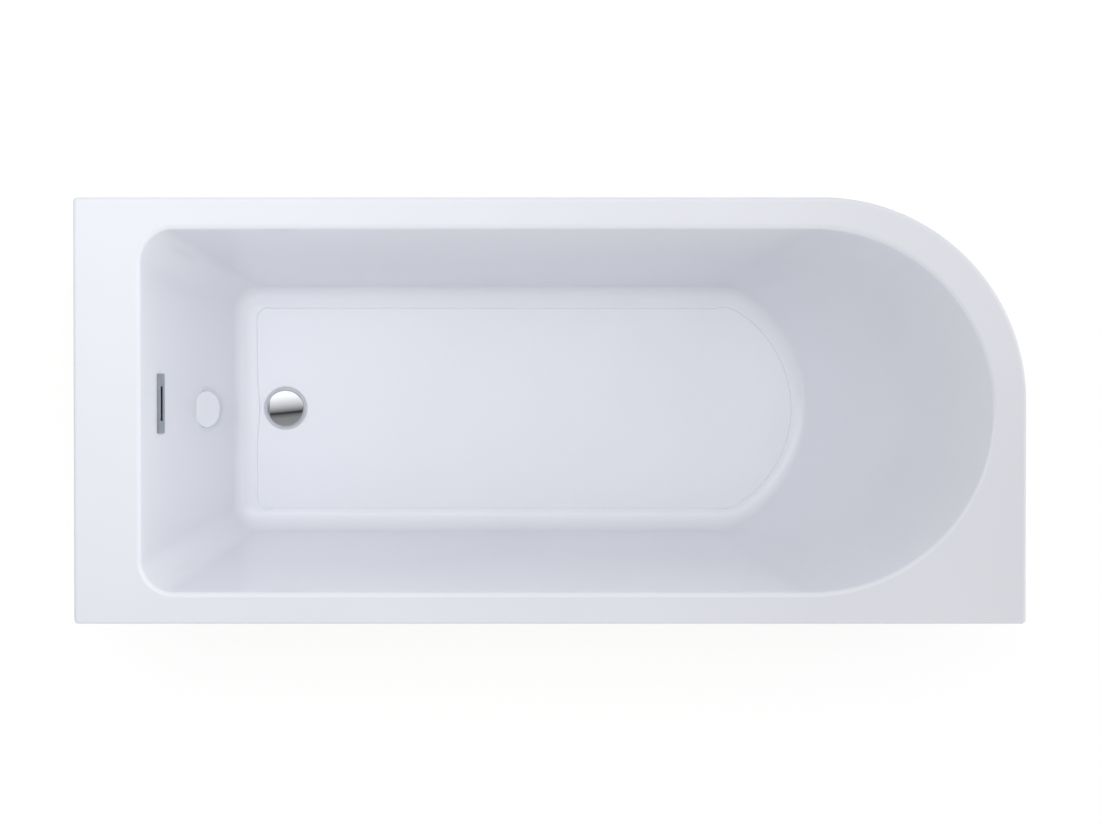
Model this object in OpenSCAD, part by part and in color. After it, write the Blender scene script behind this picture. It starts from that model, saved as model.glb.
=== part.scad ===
// Shower bath with one large rounded corner, on a levelling frame, with its panel,
// click-clack waste, slotted overflow and trap. Millimetres, +Z up.
// Origin: on the floor, under the middle of the rim's outer box.
// +X is the head end, -X the tap end, +Y the room side, -Y the wall side.

/* [Bath] */
// Overall length of the rim
bath_l = 1675; // [1600:5:1750]
// Overall width of the rim
bath_w = 750; // [720:5:800]
// Height of the rim above the floor
bath_h = 560; // [555:5:600]
// Radius of the large rounded corner of the rim
corner_r = 360; // [250:5:365]
// Radius of the other three corners of the rim
small_corner_r = 8; // [7:1:20]
// Thickness of the acrylic sheet
acrylic_t = 5; // [3:0.5:6]
// Thickness of the glass fibre coat behind the acrylic
fibre_t = 3; // [2:0.5:3.5]
// Depth of the turned-down outer lip
lip_h = 38; // [30:1:45]
// Radius of the rim's outer edge
lip_edge_r = 6.5; // [6.5:0.5:7.5]

/* [Basin] */
// Depth of the basin, rim to floor
basin_d = 400; // [360:5:400]
// Rim width along both long sides
rim_side = 55; // [50:1:65]
// Rim width at the tap end
rim_tap = 117; // [100:1:140]
// Rim width at the head end
rim_head = 57; // [50:1:70]
// Slope of the long side walls, from level
side_angle = 77; // [74:1:80]
// Slope of the tap end wall, from level
tap_angle = 73; // [70:1:76]
// Slope of the backrest, from level
back_angle = 53.5; // [50:0.5:58]
// Radius of the rim's inner edge
inner_edge_r = 9.5; // [9.5:0.5:12]
// Radius of the opening's two square corners
open_corner_r = 58; // [45:1:80]
// Radius of the cove round the floor
cove_r = 38; // [30:1:45]
// Radius of the cove at the foot of the backrest
head_cove_r = 30; // [25:1:40]
// Corner radius where the tap end walls meet the floor plane
floor_corner_r = 46; // [44:1:60]
// Radius of the round end of the floor plane
floor_end_r = 253; // [250:1:300]
// Radius that joins the round end to the straight sides
floor_join_r = 95; // [80:1:120]
// Depth of the step down to the flat floor
floor_step = 2.5; // [1:0.5:4]
// Width of the step down to the flat floor
floor_step_w = 6; // [4:0.5:9]
// How far the step bows towards the waste
floor_bow = 5; // [0:0.5:8]
// Radius of the round moulded boss in the tap end wall
boss_r = 34; // [28:1:38]
// Slope of the boss's round face
boss_angle = 55; // [50:1:60]
// Depth of the boss's upper end below the rim
boss_drop = 215; // [200:1:225]

/* [Waste] */
// Distance of the waste from the outer edge of the tap end
waste_inset = 326.5; // [322:0.5:340]
// Radius of the chrome plug
plug_r = 36; // [33:0.5:37]
// Crown of the chrome plug
plug_crown = 6; // [4:0.5:9]
// Radius of the dished seat round the waste
seat_r = 42; // [40:0.5:46]
// Depth of the dished seat
seat_d = 4; // [3:0.5:5]
// Radius of the hole through the shell
waste_hole_r = 26; // [25.5:0.25:27]
// Inner radius of the waste pipe
waste_bore_r = 18; // [16:0.5:19]
// Length of the trap's outlet arm from the waste's axis
trap_arm = 120; // [105:5:180]
// Outer radius of the waste pipe that the trap takes
pipe_r = 21.5; // [20:0.25:21.5]
// Radial play of the waste pipe in the trap's socket
pipe_play = 0.2; // [0.1:0.05:0.4]

/* [Overflow] */
// Length of the overflow cover
cover_l = 107; // [104:1:120]
// Height of the overflow cover
cover_w = 24; // [22:1:28]
// Thickness of the overflow cover
cover_t = 3; // [2:0.5:4]
// Length of the slot in the cover
slot_l = 62; // [50:1:64]
// Height of the slot in the cover
slot_w = 7.6; // [5:0.2:9]
// Depth of the overflow below the rim
overflow_drop = 75; // [65:1:90]
// Offset of the overflow from the bath's middle line
overflow_y = 12; // [0:1:20]
// Outer radius of the overflow hose over its ribs
hose_r = 16; // [15:0.5:17]
// Number of ribs on the overflow hose
hose_ribs = 70; // [40:1:90]

/* [Frame] */
// Thickness of the base board
board_t = 15; // [12:1:18]
// Half width of the base board
board_half_w = 175; // [150:5:180]
// Width of the steel cross channels
channel_w = 40; // [34:1:50]
// Height of the steel cross channels
channel_h = 20; // [16:1:24]
// Sheet thickness of the channels and plates
steel_t = 2; // [1.5:0.5:3]
// Distance of the tap end channel inside the base board's end
tap_channel_in = 131; // [110:1:170]
// Distance of the head end channel inside the base board's end
head_channel_in = 146; // [126:1:200]
// Distance of the corner feet inside the basin's long upper edges
foot_in = 70; // [60:1:74]
// Radius of the foot studs
stud_r = 5; // [4:0.5:6]
// Radius of the foot pads
pad_r = 25; // [20:1:30]
// How far a corner foot winds down
foot_down = 25; // [10:1:25]
// How far the centre foot winds up
centre_foot_up = 5; // [3:1:6]
// Width of the timber strips under the rim
strip_w = 28; // [20:1:30]
// Height of the timber strips under the rim
strip_h = 30; // [25:1:32]

/* [Panel] */
// Thickness of the bath panel
panel_t = 3; // [2:0.5:4]
// Gap between the panel's lower edge and the floor
panel_lift = 2; // [0:0.5:6]
// Height of the timber plinth behind the panel
plinth_h = 40; // [30:1:60]
// Thickness of the timber plinth
plinth_t = 20; // [16:1:30]
// Width of the panel's turned-in lower edge
panel_return = 26; // [22:1:40]

/* [Hidden] */

$fn = 64;
fit = 0.3;            // gap between a seated piece and its curved or large seat
run_fit = 0.05;       // radial gap of a running or threaded fit
eps = 0.5;            // overshoot of a cut past the face it opens

// Colours
white_acrylic = [0.93, 0.93, 0.96];
fibre_colour = [0.80, 0.79, 0.72];
timber = [0.78, 0.64, 0.45];
zinc = [0.72, 0.73, 0.75];
chrome = [0.80, 0.81, 0.84];
black = [0.10, 0.10, 0.11];
white_plastic = [0.90, 0.90, 0.90];
grey_plastic = [0.62, 0.64, 0.66];

// Basin levels and outlines
floor_z = bath_h - basin_d;
ledge_d = basin_d - floor_step;
half_l = bath_l / 2;
half_w = bath_w / 2;
open_half_w = half_w - rim_side;
open_left = rim_tap - half_l;
open_right = half_l - rim_head;
floor_half_w = open_half_w - ledge_d / tan(side_angle);
floor_left = open_left + ledge_d / tan(tap_angle);
floor_right = open_right - ledge_d / tan(back_angle);
// An outline is [left x, right x, half width, corner radius, end radius, join radius]
open_outline = [open_left, open_right, open_half_w, open_corner_r, open_half_w, open_half_w];
floor_outline = [floor_left, floor_right, floor_half_w, floor_corner_r, floor_end_r, floor_join_r];

// Spokes: [direction, share of the straight tap end]. All outlines use the same spokes.
quarter_n = 16;
corner_n = 6;
tap_n = 10;
spoke_step = 90 / quarter_n;
spokes = concat(
    [for (i = [0 : 2 * quarter_n]) [-90 + i * spoke_step, 0]],
    [for (i = [0 : corner_n]) [90 + i * 90 / corner_n, 0]],
    [for (i = [1 : tap_n - 1]) [180, i / tap_n]],
    [for (i = [0 : corner_n]) [180 + i * 90 / corner_n, 1]]);
spoke_n = len(spokes);

function lerp(a, b, t) = a + (b - a) * t;
function along(a) = [cos(a), sin(a)];

// Point of a spoke on an outline with a round head end
function end_point(o, a) =
    let (w = o[2], re = o[4], rj = o[5], cx = o[1] - re, aa = abs(a), side = a < 0 ? -1 : 1,
        jx = cx + sqrt(max(0, pow(re - rj, 2) - pow(w - rj, 2))),
        meet = atan2(w - rj, jx - cx))
    aa >= meet ? [jx + rj * cos(aa), side * (w - rj + rj * sin(aa))]
               : [cx + re * cos(aa), side * re * sin(aa)];
function tap_point(o, s) =
    let (r = o[3], c = o[2] - r, cy = s[0] < 180 ? c : s[0] > 180 ? -c : lerp(c, -c, s[1]))
    [o[0] + r, cy] + r * along(s[0]);
function basin_point(o, s) = s[0] <= 90 ? end_point(o, s[0]) : tap_point(o, s);

// Point of a spoke on the rim's outer outline, drawn in by an inset
function rim_corner(x, y, r, a) = [x - sign(x) * r, y - sign(y) * r] + r * along(a);
function rim_point(s, inset) =
    let (x = half_l - inset, y = half_w - inset, r = max(small_corner_r - inset, 1),
        wall_a = (s[0] + 90) * 90 / (90 - spoke_step) - 90)
    s[0] < 0 ? rim_corner(x, -y, r, wall_a)
    : s[0] <= 90 ? rim_corner(x, y, corner_r - inset, s[0])
    : s[0] < 180 ? rim_corner(-x, y, r, s[0])
    : s[0] > 180 ? rim_corner(-x, -y, r, s[0])
    : [-x, lerp(y - r, r - y, s[1])];

// Slope of the wall on a spoke, and the cove there
function wall_slope(s) =
    atan2(ledge_d, (basin_point(open_outline, s) - basin_point(floor_outline, s)) * along(s[0]));
function cove_at(s) = s[0] <= 90 ? lerp(head_cove_r, cove_r, abs(s[0]) / 90) : cove_r;
function bow_at(s) = s[0] == 180 ? floor_bow * exp(-pow(basin_point(floor_outline, s)[1] / 40, 2)) : 0;

// A station is [kind, a, b, offset]. The offset is measured behind the visible face.
// "rim": a is the inset from the outer box, b the depth. "lip": a is the share of the outer edge's turn.
// "edge", "wall" and "cove": a is the share of the turn or of the wall. "floor": a is the share of the step.
function flat(base, s, u, d) = let (p = base - u * along(s[0])) [p[0], p[1], bath_h - d];
function rim_station(s, inset, d) = let (p = rim_point(s, inset)) [p[0], p[1], bath_h - d];
function lip_station(s, f, o) =
    let (t = 90 * f, r = lip_edge_r)
    rim_station(s, r * (1 - sin(t)) + o * sin(t), r * (1 - cos(t)) + o * cos(t));
function edge_station(s, f, o) =
    let (a = wall_slope(s), t = a * f, r = inner_edge_r)
    flat(basin_point(open_outline, s), s, (r - o) * sin(t) - r * tan(a / 2), r - (r - o) * cos(t));
function cove_station(s, f, o) =
    let (a = wall_slope(s), t = a * f, r = cove_at(s))
    flat(basin_point(floor_outline, s), s, r * tan(a / 2) - (r + o) * sin(t), ledge_d - r + (r + o) * cos(t));
function step_station(s, f, o) =
    let (run = o > 0 ? 1 : (f > 0 ? 2 + bow_at(s) : 0) + f * floor_step_w,
        u = cove_at(s) * tan(wall_slope(s) / 2) + run)
    flat(basin_point(floor_outline, s), s, u, ledge_d + o + floor_step * (1 - cos(180 * f)) / 2);
function station_point(st, s) =
    st[0] == "rim" ? rim_station(s, st[1], st[2])
    : st[0] == "lip" ? lip_station(s, st[1], st[3])
    : st[0] == "edge" ? edge_station(s, st[1], st[3])
    : st[0] == "wall" ? lerp(edge_station(s, 1, st[3]), cove_station(s, 1, st[3]), st[1])
    : st[0] == "cove" ? cove_station(s, st[1], st[3])
    : step_station(s, st[1], st[3]);

// A sheet: front stations run from the outer edge in to the floor, back stations run out again
module sheet(front, back) {
    stations = concat(front, back);
    m = len(stations);
    points = [for (st = stations) for (s = spokes) station_point(st, s)];
    strips = [for (j = [0 : m - 1]) if (j != len(front) - 1) for (i = [0 : spoke_n - 1])
        let (a = j * spoke_n, b = ((j + 1) % m) * spoke_n, k = (i + 1) % spoke_n)
        for (face = [[a + i, b + i, b + k], [a + i, b + k, a + k]]) face];
    last = (len(front) - 1) * spoke_n;
    front_cap = [for (i = [0 : spoke_n - 1]) last + spoke_n - 1 - i];
    back_cap = [for (i = [0 : spoke_n - 1]) last + spoke_n + i];
    polyhedron(points, concat(strips, [front_cap, back_cap]), convexity = 12);
}

// Heights and places that several pieces share
coat_gap = 0.7;
fibre_in = acrylic_t + coat_gap;
fibre_out = fibre_in + fibre_t;
board_top = floor_z - fibre_out - fit;
board_bottom = board_top - board_t;
channel_top = board_bottom - fit;
waste_x = waste_inset - half_l;
seat_z = floor_z - seat_d;
shell_under_z = seat_z - acrylic_t;
seat_under_r = seat_r + 3;
board_left = waste_x + 80;
board_right = floor_right - head_cove_r - 30;
tap_channel_x = board_left + tap_channel_in;
head_channel_x = board_right - head_channel_in;
foot_y = open_half_w - foot_in;
strip_top = bath_h - fibre_out - fit;
strip_bottom = strip_top - strip_h;
lip_z = bath_h - lip_h;
foot_x = [tap_channel_x, tap_channel_x, head_channel_x, head_channel_x, (tap_channel_x + head_channel_x) / 2];
foot_side = [-foot_y, foot_y, -foot_y, foot_y, 0];
feet_n = len(foot_x);

module rounded_rect(x, y, r) {
    square([x - 2 * r, y], center = true);
    square([x, y - 2 * r], center = true);
    for (i = [-1, 1], j = [-1, 1]) translate([i * (x / 2 - r), j * (y / 2 - r)]) circle(r);
}
module obround(x, y) {
    square([x, y - x], center = true);
    for (j = [-1, 1]) translate([0, j * (y - x) / 2]) circle(x / 2);
}
module ring(outer, inner, h) {
    difference() {
        cylinder(r = outer, h = h);
        translate([0, 0, -eps]) cylinder(r = inner, h = h + 2 * eps);
    }
}
module hex_nut(flats, bore, h) {
    difference() {
        cylinder(r = flats / sqrt(3), h = h, $fn = 6);
        translate([0, 0, -eps]) cylinder(r = bore, h = h + 2 * eps);
    }
}
// A wood screw that stands head down at the origin, its shank upwards
screw_r = 2.2;
screw_head_r = 4.2;
screw_head_h = 2.6;
timber_bite = 18;
module wood_screw(shank_l) {
    translate([0, 0, -screw_head_h]) cylinder(r1 = screw_head_r * 0.7, r2 = screw_head_r, h = screw_head_h);
    cylinder(r = screw_r, h = shank_l);
}

/* Frames of the waste and the overflow */
overflow_x = open_left + overflow_drop / tan(tap_angle);
boss_x = open_left + boss_drop / tan(tap_angle);
module at_waste() translate([waste_x, 0, 0]) children();
// Local +Z leaves the tap end wall square to it, local +X runs down the wall
module at_overflow()
    translate([overflow_x, overflow_y, bath_h - overflow_drop]) rotate([0, tap_angle, 0]) children();

// Bath shell: one acrylic sheet, with the waste's seat, the overflow's slot and the moulded boss
function row(kind, shares, offset) = [for (f = shares) [kind, f, 0, offset]];
shell_front = concat([["rim", 0, lip_h, 0]], row("lip", [1, 0.7, 0.35, 0], 0),
    row("edge", [0, 0.33, 0.66, 1], 0), row("wall", [0.33, 0.67], 0),
    row("cove", [1, 0.75, 0.5, 0.25, 0], 0), row("floor", [0.01, 0.33, 0.67, 1], 0));
shell_back = concat(row("floor", [1], acrylic_t), row("cove", [0, 0.5, 1], acrylic_t),
    row("wall", [0.67, 0.33], acrylic_t), row("edge", [1, 0], acrylic_t), row("lip", [0, 1], acrylic_t),
    [["rim", acrylic_t, lip_h, 0]]);
wall_slot_l = slot_l + 4;
wall_slot_w = slot_w + 4;
cover_stud_y = 42;
cover_stud_r = 2.5;

// The slot and the two stud holes that go through the wall behind the cover
module overflow_opening(z0, z1) {
    translate([0, 0, z0]) {
        linear_extrude(z1 - z0) obround(wall_slot_w, wall_slot_l);
        for (j = [-1, 1]) translate([0, j * cover_stud_y, 0])
            cylinder(r = cover_stud_r + 0.5, h = z1 - z0);
    }
}

// The boss's face starts in the wall and stands out of it lower down, because it slopes less than the wall
boss_tuck = 3;
module at_boss_top(angle) translate([boss_x, 0, bath_h - boss_drop]) rotate([0, angle, 0]) children();
module boss_bar(r, z1) at_boss_top(boss_angle) translate([boss_r - boss_tuck, 0, z1 - 2 * boss_r])
    cylinder(r = r, h = 2 * boss_r);
module moulded_boss() {
    intersection() {
        boss_bar(boss_r, 0);
        at_boss_top(tap_angle) translate([-boss_r, -2 * boss_r, -acrylic_t / 2]) cube(4 * boss_r);
    }
}
module bath_shell() color(white_acrylic) {
    difference() {
        union() {
            sheet(shell_front, shell_back);
            at_waste() translate([0, 0, shell_under_z])
                cylinder(r = seat_under_r, h = seat_d + acrylic_t / 2);
            moulded_boss();
        }
        at_waste() translate([0, 0, seat_z])
            cylinder(r1 = seat_r - seat_d, r2 = seat_r + eps, h = seat_d + eps);
        at_waste() translate([0, 0, shell_under_z - eps]) cylinder(r = waste_hole_r, h = 3 * acrylic_t);
        boss_bar(boss_r - acrylic_t, -acrylic_t);
        at_overflow() overflow_opening(-2 * acrylic_t, acrylic_t);
    }
}

// Glass fibre coat, laid on the back of the acrylic from the lip to the floor
coat_inset = acrylic_t + 4;
coat_front = concat([["rim", coat_inset, fibre_in, 0]], row("edge", [0, 1], fibre_in),
    row("wall", [0.33, 0.67], fibre_in), row("cove", [1, 0.5, 0], fibre_in), row("floor", [1], fibre_in));
coat_back = concat(row("floor", [1], fibre_out), row("cove", [0, 0.5, 1], fibre_out),
    row("wall", [0.67, 0.33], fibre_out), row("edge", [1, 0], fibre_out),
    [["rim", coat_inset, fibre_out, 0]]);
module fibreglass_coat() color(fibre_colour) {
    difference() {
        sheet(coat_front, coat_back);
        at_waste() translate([0, 0, board_bottom]) cylinder(r = seat_under_r + 1, h = basin_d / 10);
        at_overflow() translate([0, 0, -3 * acrylic_t]) linear_extrude(4 * acrylic_t)
            rounded_rect(seal_w + 3, seal_l + 3, 7);
    }
}

// Base board, let into the coat under the flat floor
module board_outline() {
    l = board_right - board_left;
    translate([board_left + l / 2, 0]) rounded_rect(l, 2 * board_half_w, 60);
}
channel_screw_y = [-140, -50, 50, 140];
plate_half = 40;
plate_screw = plate_half - 10;
board_bite = board_t - 2;
module at_plate_screws()
    for (i = [-1, 1], j = [-1, 1]) translate([foot_x[4] + i * plate_screw, j * plate_screw, 0]) children();
module base_board() color(timber) {
    difference() {
        translate([0, 0, board_bottom]) linear_extrude(board_t) board_outline();
        for (x = [tap_channel_x, head_channel_x], y = channel_screw_y)
            translate([x, y, board_bottom - eps]) cylinder(r = screw_r + run_fit, h = board_bite + eps);
        at_plate_screws() translate([0, 0, board_bottom - eps])
            cylinder(r = screw_r + run_fit, h = board_bite + eps);
        translate([foot_x[4], 0, board_bottom - eps]) cylinder(r = stud_r + 2, h = board_t + 2 * eps);
    }
}

// Timber under the rim
strip_side_y = half_w - acrylic_t - panel_t - 4 - strip_w / 2;
strip_start = -half_l + acrylic_t + 12;
room_strip_end = half_l - corner_r - 10;
bracket_x = [-450, 420];
bracket_y = -150;
clip_x = [-700, -350, 0, 350];
clip_y = [-230];
clip_l = 30;
module rim_strip(x0, x1) {
    translate([x0, -strip_w / 2, strip_bottom]) cube([x1 - x0, strip_w, strip_h]);
}
module pilot_holes(places) {
    for (p = places) translate([p[0], p[1], strip_bottom - eps])
        cylinder(r = screw_r + run_fit, h = timber_bite + 2 + eps);
}
head_strip_x = half_l - acrylic_t - panel_t - 4 - strip_w / 2;
tap_board_w = 60;
tap_screw_x = strip_start + tap_board_w / 2 - 12;
wall_strip_y = -(half_w - acrylic_t - 4 - strip_w / 2);
module rim_strip_room() color(timber) {
    difference() {
        translate([0, strip_side_y, 0]) rim_strip(strip_start, room_strip_end);
        pilot_holes([for (x = clip_x) [x, strip_side_y]]);
    }
}
module rim_strip_wall() color(timber) {
    difference() {
        translate([0, wall_strip_y, 0]) rim_strip(strip_start, head_strip_x - strip_w / 2 - fit);
        pilot_holes([for (x = bracket_x) [x, wall_strip_y]]);
    }
}
module rim_board_tap() color(timber) {
    side = strip_side_y - strip_w / 2 - 10;
    difference() {
        translate([strip_start, -side, strip_bottom]) cube([tap_board_w, 2 * side, strip_h]);
        pilot_holes([[tap_screw_x, bracket_y]]);
    }
}
module rim_strip_head() color(timber) {
    difference() {
        translate([head_strip_x - strip_w / 2, wall_strip_y - strip_w / 2, strip_bottom])
            cube([strip_w, half_w - corner_r - 20 + strip_w / 2 - wall_strip_y, strip_h]);
        pilot_holes([for (y = clip_y) [head_strip_x, y]]);
    }
}

// Levelling frame
channel_half = foot_y + 22;
module cross_channel(x) color(zinc) {
    translate([x, 0, channel_top - channel_h]) difference() {
        translate([-channel_w / 2, -channel_half, 0]) cube([channel_w, 2 * channel_half, channel_h]);
        translate([steel_t - channel_w / 2, -channel_half - eps, -eps])
            cube([channel_w - 2 * steel_t, 2 * (channel_half + eps), channel_h - steel_t + eps]);
        for (y = [-foot_y, foot_y]) translate([0, y, 0]) cylinder(r = stud_r + 0.5, h = channel_h + eps);
        for (y = channel_screw_y) translate([0, y, 0]) cylinder(r = screw_r + 0.3, h = channel_h + eps);
    }
}
module channel_tap() cross_channel(tap_channel_x);
module channel_head() cross_channel(head_channel_x);
module channel_screws() color(zinc) {
    for (x = [tap_channel_x, head_channel_x], y = channel_screw_y)
        translate([x, y, channel_top - steel_t]) wood_screw(board_bite + steel_t);
}
module centre_plate() color(zinc) {
    difference() {
        translate([foot_x[4], 0, channel_top - steel_t]) difference() {
            linear_extrude(steel_t) rounded_rect(2 * plate_half, 2 * plate_half, 6);
            translate([0, 0, -eps]) cylinder(r = stud_r + 0.5, h = steel_t + 2 * eps);
        }
        at_plate_screws() translate([0, 0, channel_top - 2 * steel_t])
            cylinder(r = screw_r + 0.3, h = 3 * steel_t);
    }
}
module plate_screws() color(zinc) at_plate_screws() translate([0, 0, channel_top - steel_t])
    wood_screw(board_bite + steel_t);
nut_h = 8;
nut_flats = stud_r * 3.4;
nut_z = channel_top - steel_t - nut_h;
module weld_nuts() color(zinc) {
    for (i = [0 : feet_n - 1]) translate([foot_x[i], foot_side[i], nut_z])
        hex_nut(nut_flats, stud_r + run_fit, nut_h);
}
lock_h = 5;
module lock_nuts() color(zinc) {
    for (i = [0 : feet_n - 2]) translate([foot_x[i], foot_side[i], channel_top])
        hex_nut(nut_flats, stud_r + run_fit, lock_h);
    translate([foot_x[4], 0, nut_z - fit - lock_h]) hex_nut(nut_flats, stud_r + run_fit, lock_h);
}
pad_h = 16;
stud_low = 5;
corner_stud_top = channel_top + lock_h + foot_down + 8;
centre_stud_top = board_top - centre_foot_up - 1;
module foot_stud(i) color(zinc) {
    top = i < feet_n ? corner_stud_top : centre_stud_top;
    translate([foot_x[i - 1], foot_side[i - 1], stud_low]) {
        cylinder(r = stud_r, h = top - stud_low - 1);
        translate([0, 0, top - stud_low - 1]) cylinder(r1 = stud_r, r2 = stud_r - 1, h = 1);
        translate([0, 0, pad_h - stud_low + fit]) cylinder(r = nut_flats / sqrt(3), h = 6, $fn = 6);
    }
}
module foot_pad(i) color(black) {
    translate([foot_x[i - 1], foot_side[i - 1], 0]) difference() {
        rotate_extrude() polygon([[0, 0], [pad_r - 2, 0], [pad_r, 2], [pad_r, 6],
            [pad_r * 0.6, 9], [pad_r * 0.44, pad_h], [0, pad_h]]);
        translate([0, 0, stud_low - fit]) cylinder(r = stud_r + run_fit, h = pad_h);
    }
}

// Wall brackets: a shelf under the timber and a leg against the wall
bracket_w = 40;
bracket_leg = 55;
screw_inset = 14;
bracket_top = lip_z - fit < strip_bottom ? lip_z - fit : strip_bottom;
bracket_hole_r = 3.25;
bracket_hole_drop = [20, 42];
// Local frame: origin on the wall face, +X along the wall, +Y away from it
module bracket(reach) {
    translate([0, 0, bracket_top]) difference() {
        union() {
            translate([-bracket_w / 2, 0, -steel_t]) cube([bracket_w, reach, steel_t]);
            translate([-bracket_w / 2, 0, -bracket_leg]) cube([bracket_w, steel_t, bracket_leg]);
        }
        for (drop = bracket_hole_drop) translate([0, -eps, -drop]) rotate([-90, 0, 0])
            cylinder(r = bracket_hole_r, h = steel_t + 2 * eps);
        translate([0, reach - screw_inset, -steel_t - eps])
            cylinder(r = screw_r + 0.3, h = steel_t + 2 * eps);
    }
}
side_reach = half_w + wall_strip_y + screw_inset;
tap_reach = tap_screw_x + half_l + screw_inset;
module on_wall_side(x) translate([x, -half_w, 0]) children();
module on_tap_side(y) translate([-half_l, y, 0]) rotate([0, 0, -90]) children();
module wall_brackets() color(zinc) {
    for (x = bracket_x) on_wall_side(x) bracket(side_reach);
    on_tap_side(bracket_y) bracket(tap_reach);
}
module bracket_screws() color(zinc) {
    for (x = bracket_x) on_wall_side(x) translate([0, side_reach - screw_inset, bracket_top - steel_t])
        wood_screw(timber_bite);
    on_tap_side(bracket_y) translate([0, tap_reach - screw_inset, bracket_top - steel_t])
        wood_screw(timber_bite);
}

// Bath panel: one bent sheet that tucks up behind the lip on the room side and round the corner
panel_out = acrylic_t + 1;
panel_in = panel_out + panel_t;
panel_top = lip_z + 20;
// The rim's plan drawn in by an inset on the room side, the head end and the large corner
module plan(inset) {
    x = half_l - inset;
    y = half_w - inset;
    r = corner_r - inset;
    difference() {
        translate([-half_l, -half_w]) square([half_l + x, half_w + y]);
        translate([x - r, y - r]) square(r + eps);
    }
    translate([x - r, y - r]) intersection() {
        circle(r);
        square(r);
    }
}
module panel_plan(inner) {
    difference() {
        plan(panel_out);
        plan(inner);
        translate([-half_l - eps, -half_w]) square([panel_out + eps, 2 * half_w]);
        translate([-half_l, -half_w - eps]) square([2 * half_l, panel_out + eps]);
    }
}
screw_cap_z = panel_lift + panel_t + plinth_h / 2;
panel_screw_x = [-700, -350, 0, 350];
panel_screw_y = [-280, -60];
module for_panel_screws() {
    for (x = panel_screw_x) translate([x, half_w - panel_out, screw_cap_z]) rotate([90, 0, 0]) children();
    for (y = panel_screw_y) translate([half_l - panel_out, y, screw_cap_z]) rotate([0, -90, 0]) children();
}
module bath_panel() color(white_acrylic) {
    difference() {
        union() {
            translate([0, 0, panel_lift]) linear_extrude(panel_top - panel_lift) panel_plan(panel_in);
            translate([0, 0, panel_lift]) linear_extrude(panel_t) panel_plan(panel_out + panel_return);
        }
        for_panel_screws() translate([0, 0, -eps]) cylinder(r = screw_r + 0.3, h = panel_t + 2 * eps);
    }
}
// Spring clips under the timber press the panel's back against the lip
clip_t = 1.5;
clip_drop = 35;
module clip() {
    reach = strip_w / 2 + 4 - fit - 1;
    translate([-clip_l / 2, -10, strip_bottom - clip_t]) difference() {
        cube([clip_l, 10 + reach, clip_t]);
        translate([clip_l / 2, 10, -eps]) cylinder(r = screw_r + 0.3, h = clip_t + 2 * eps);
    }
    translate([-clip_l / 2, reach - clip_t, strip_bottom - clip_drop]) cube([clip_l, clip_t, clip_drop]);
}
module for_clips() {
    for (x = clip_x) translate([x, strip_side_y, 0]) children();
    for (y = clip_y) translate([head_strip_x, y, 0]) rotate([0, 0, -90]) children();
}
module panel_clips() color(zinc) for_clips() clip();
module clip_screws() color(zinc) for_clips() translate([0, 0, strip_bottom - clip_t])
    wood_screw(timber_bite);

// Timber plinth on the panel's turned-in edge
plinth_z = panel_lift + panel_t + fit;
plinth_face = panel_in + fit;
module plinth_holes() {
    for_panel_screws() cylinder(r = screw_r + run_fit, h = panel_t + timber_bite);
}
module plinth_room() color(timber) {
    x0 = panel_in + 15 - half_l;
    difference() {
        translate([x0, half_w - plinth_face - plinth_t, plinth_z])
            cube([room_strip_end - x0, plinth_t, plinth_h]);
        plinth_holes();
    }
}
module plinth_head() color(timber) {
    y0 = panel_out + 10 - half_w;
    difference() {
        translate([half_l - plinth_face - plinth_t, y0, plinth_z])
            cube([plinth_t, half_w - corner_r - 20 - y0, plinth_h]);
        plinth_holes();
    }
}
module panel_screws() color(zinc) for_panel_screws() wood_screw(panel_t + timber_bite - 2);
module screw_caps() color(white_acrylic) {
    for_panel_screws() translate([0, 0, -screw_head_h - 1.6]) difference() {
        cylinder(r1 = 5, r2 = 7, h = screw_head_h + 1.4);
        translate([0, 0, 1.4]) cylinder(r = screw_head_r + fit, h = screw_head_h + eps);
    }
}

// Waste: flange above the shell, body below it, plug and cartridge inside
flange_t = 2.5;
seal_t = 2;
flange_r = seat_r - seat_d - 3;
flange_z = seat_z + seal_t;
tail_r = waste_hole_r - 1;
flange_bore = tail_r - 3;
flange_low = shell_under_z - 14;
hub_r = 9;
hub_bore = 6;
hub_h = 5;
module waste_flange() color(chrome) at_waste() {
    difference() {
        union() {
            translate([0, 0, flange_z]) cylinder(r = flange_r, h = flange_t);
            translate([0, 0, flange_low]) cylinder(r = tail_r, h = flange_z - flange_low + 1);
        }
        translate([0, 0, flange_low - eps])
            cylinder(r = flange_bore, h = flange_z - flange_low + flange_t + 2 * eps);
    }
    difference() {
        translate([0, 0, flange_low + 2]) {
            cylinder(r = hub_r, h = hub_h);
            for (a = [0, 60, 120]) rotate(a) translate([-flange_bore - 0.5, -1.5, 0])
                cube([2 * flange_bore + 1, 3, hub_h]);
        }
        translate([0, 0, flange_low]) cylinder(r = hub_bore, h = 2 * hub_h);
    }
}
module flange_seal() color(black) at_waste() translate([0, 0, seat_z])
    ring(flange_r - 1, tail_r + 0.2, seal_t);
body_seal_t = 3;
module body_seal() color(black) at_waste() translate([0, 0, shell_under_z - body_seal_t])
    ring(waste_hole_r + 9, tail_r + 0.2, body_seal_t);
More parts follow.
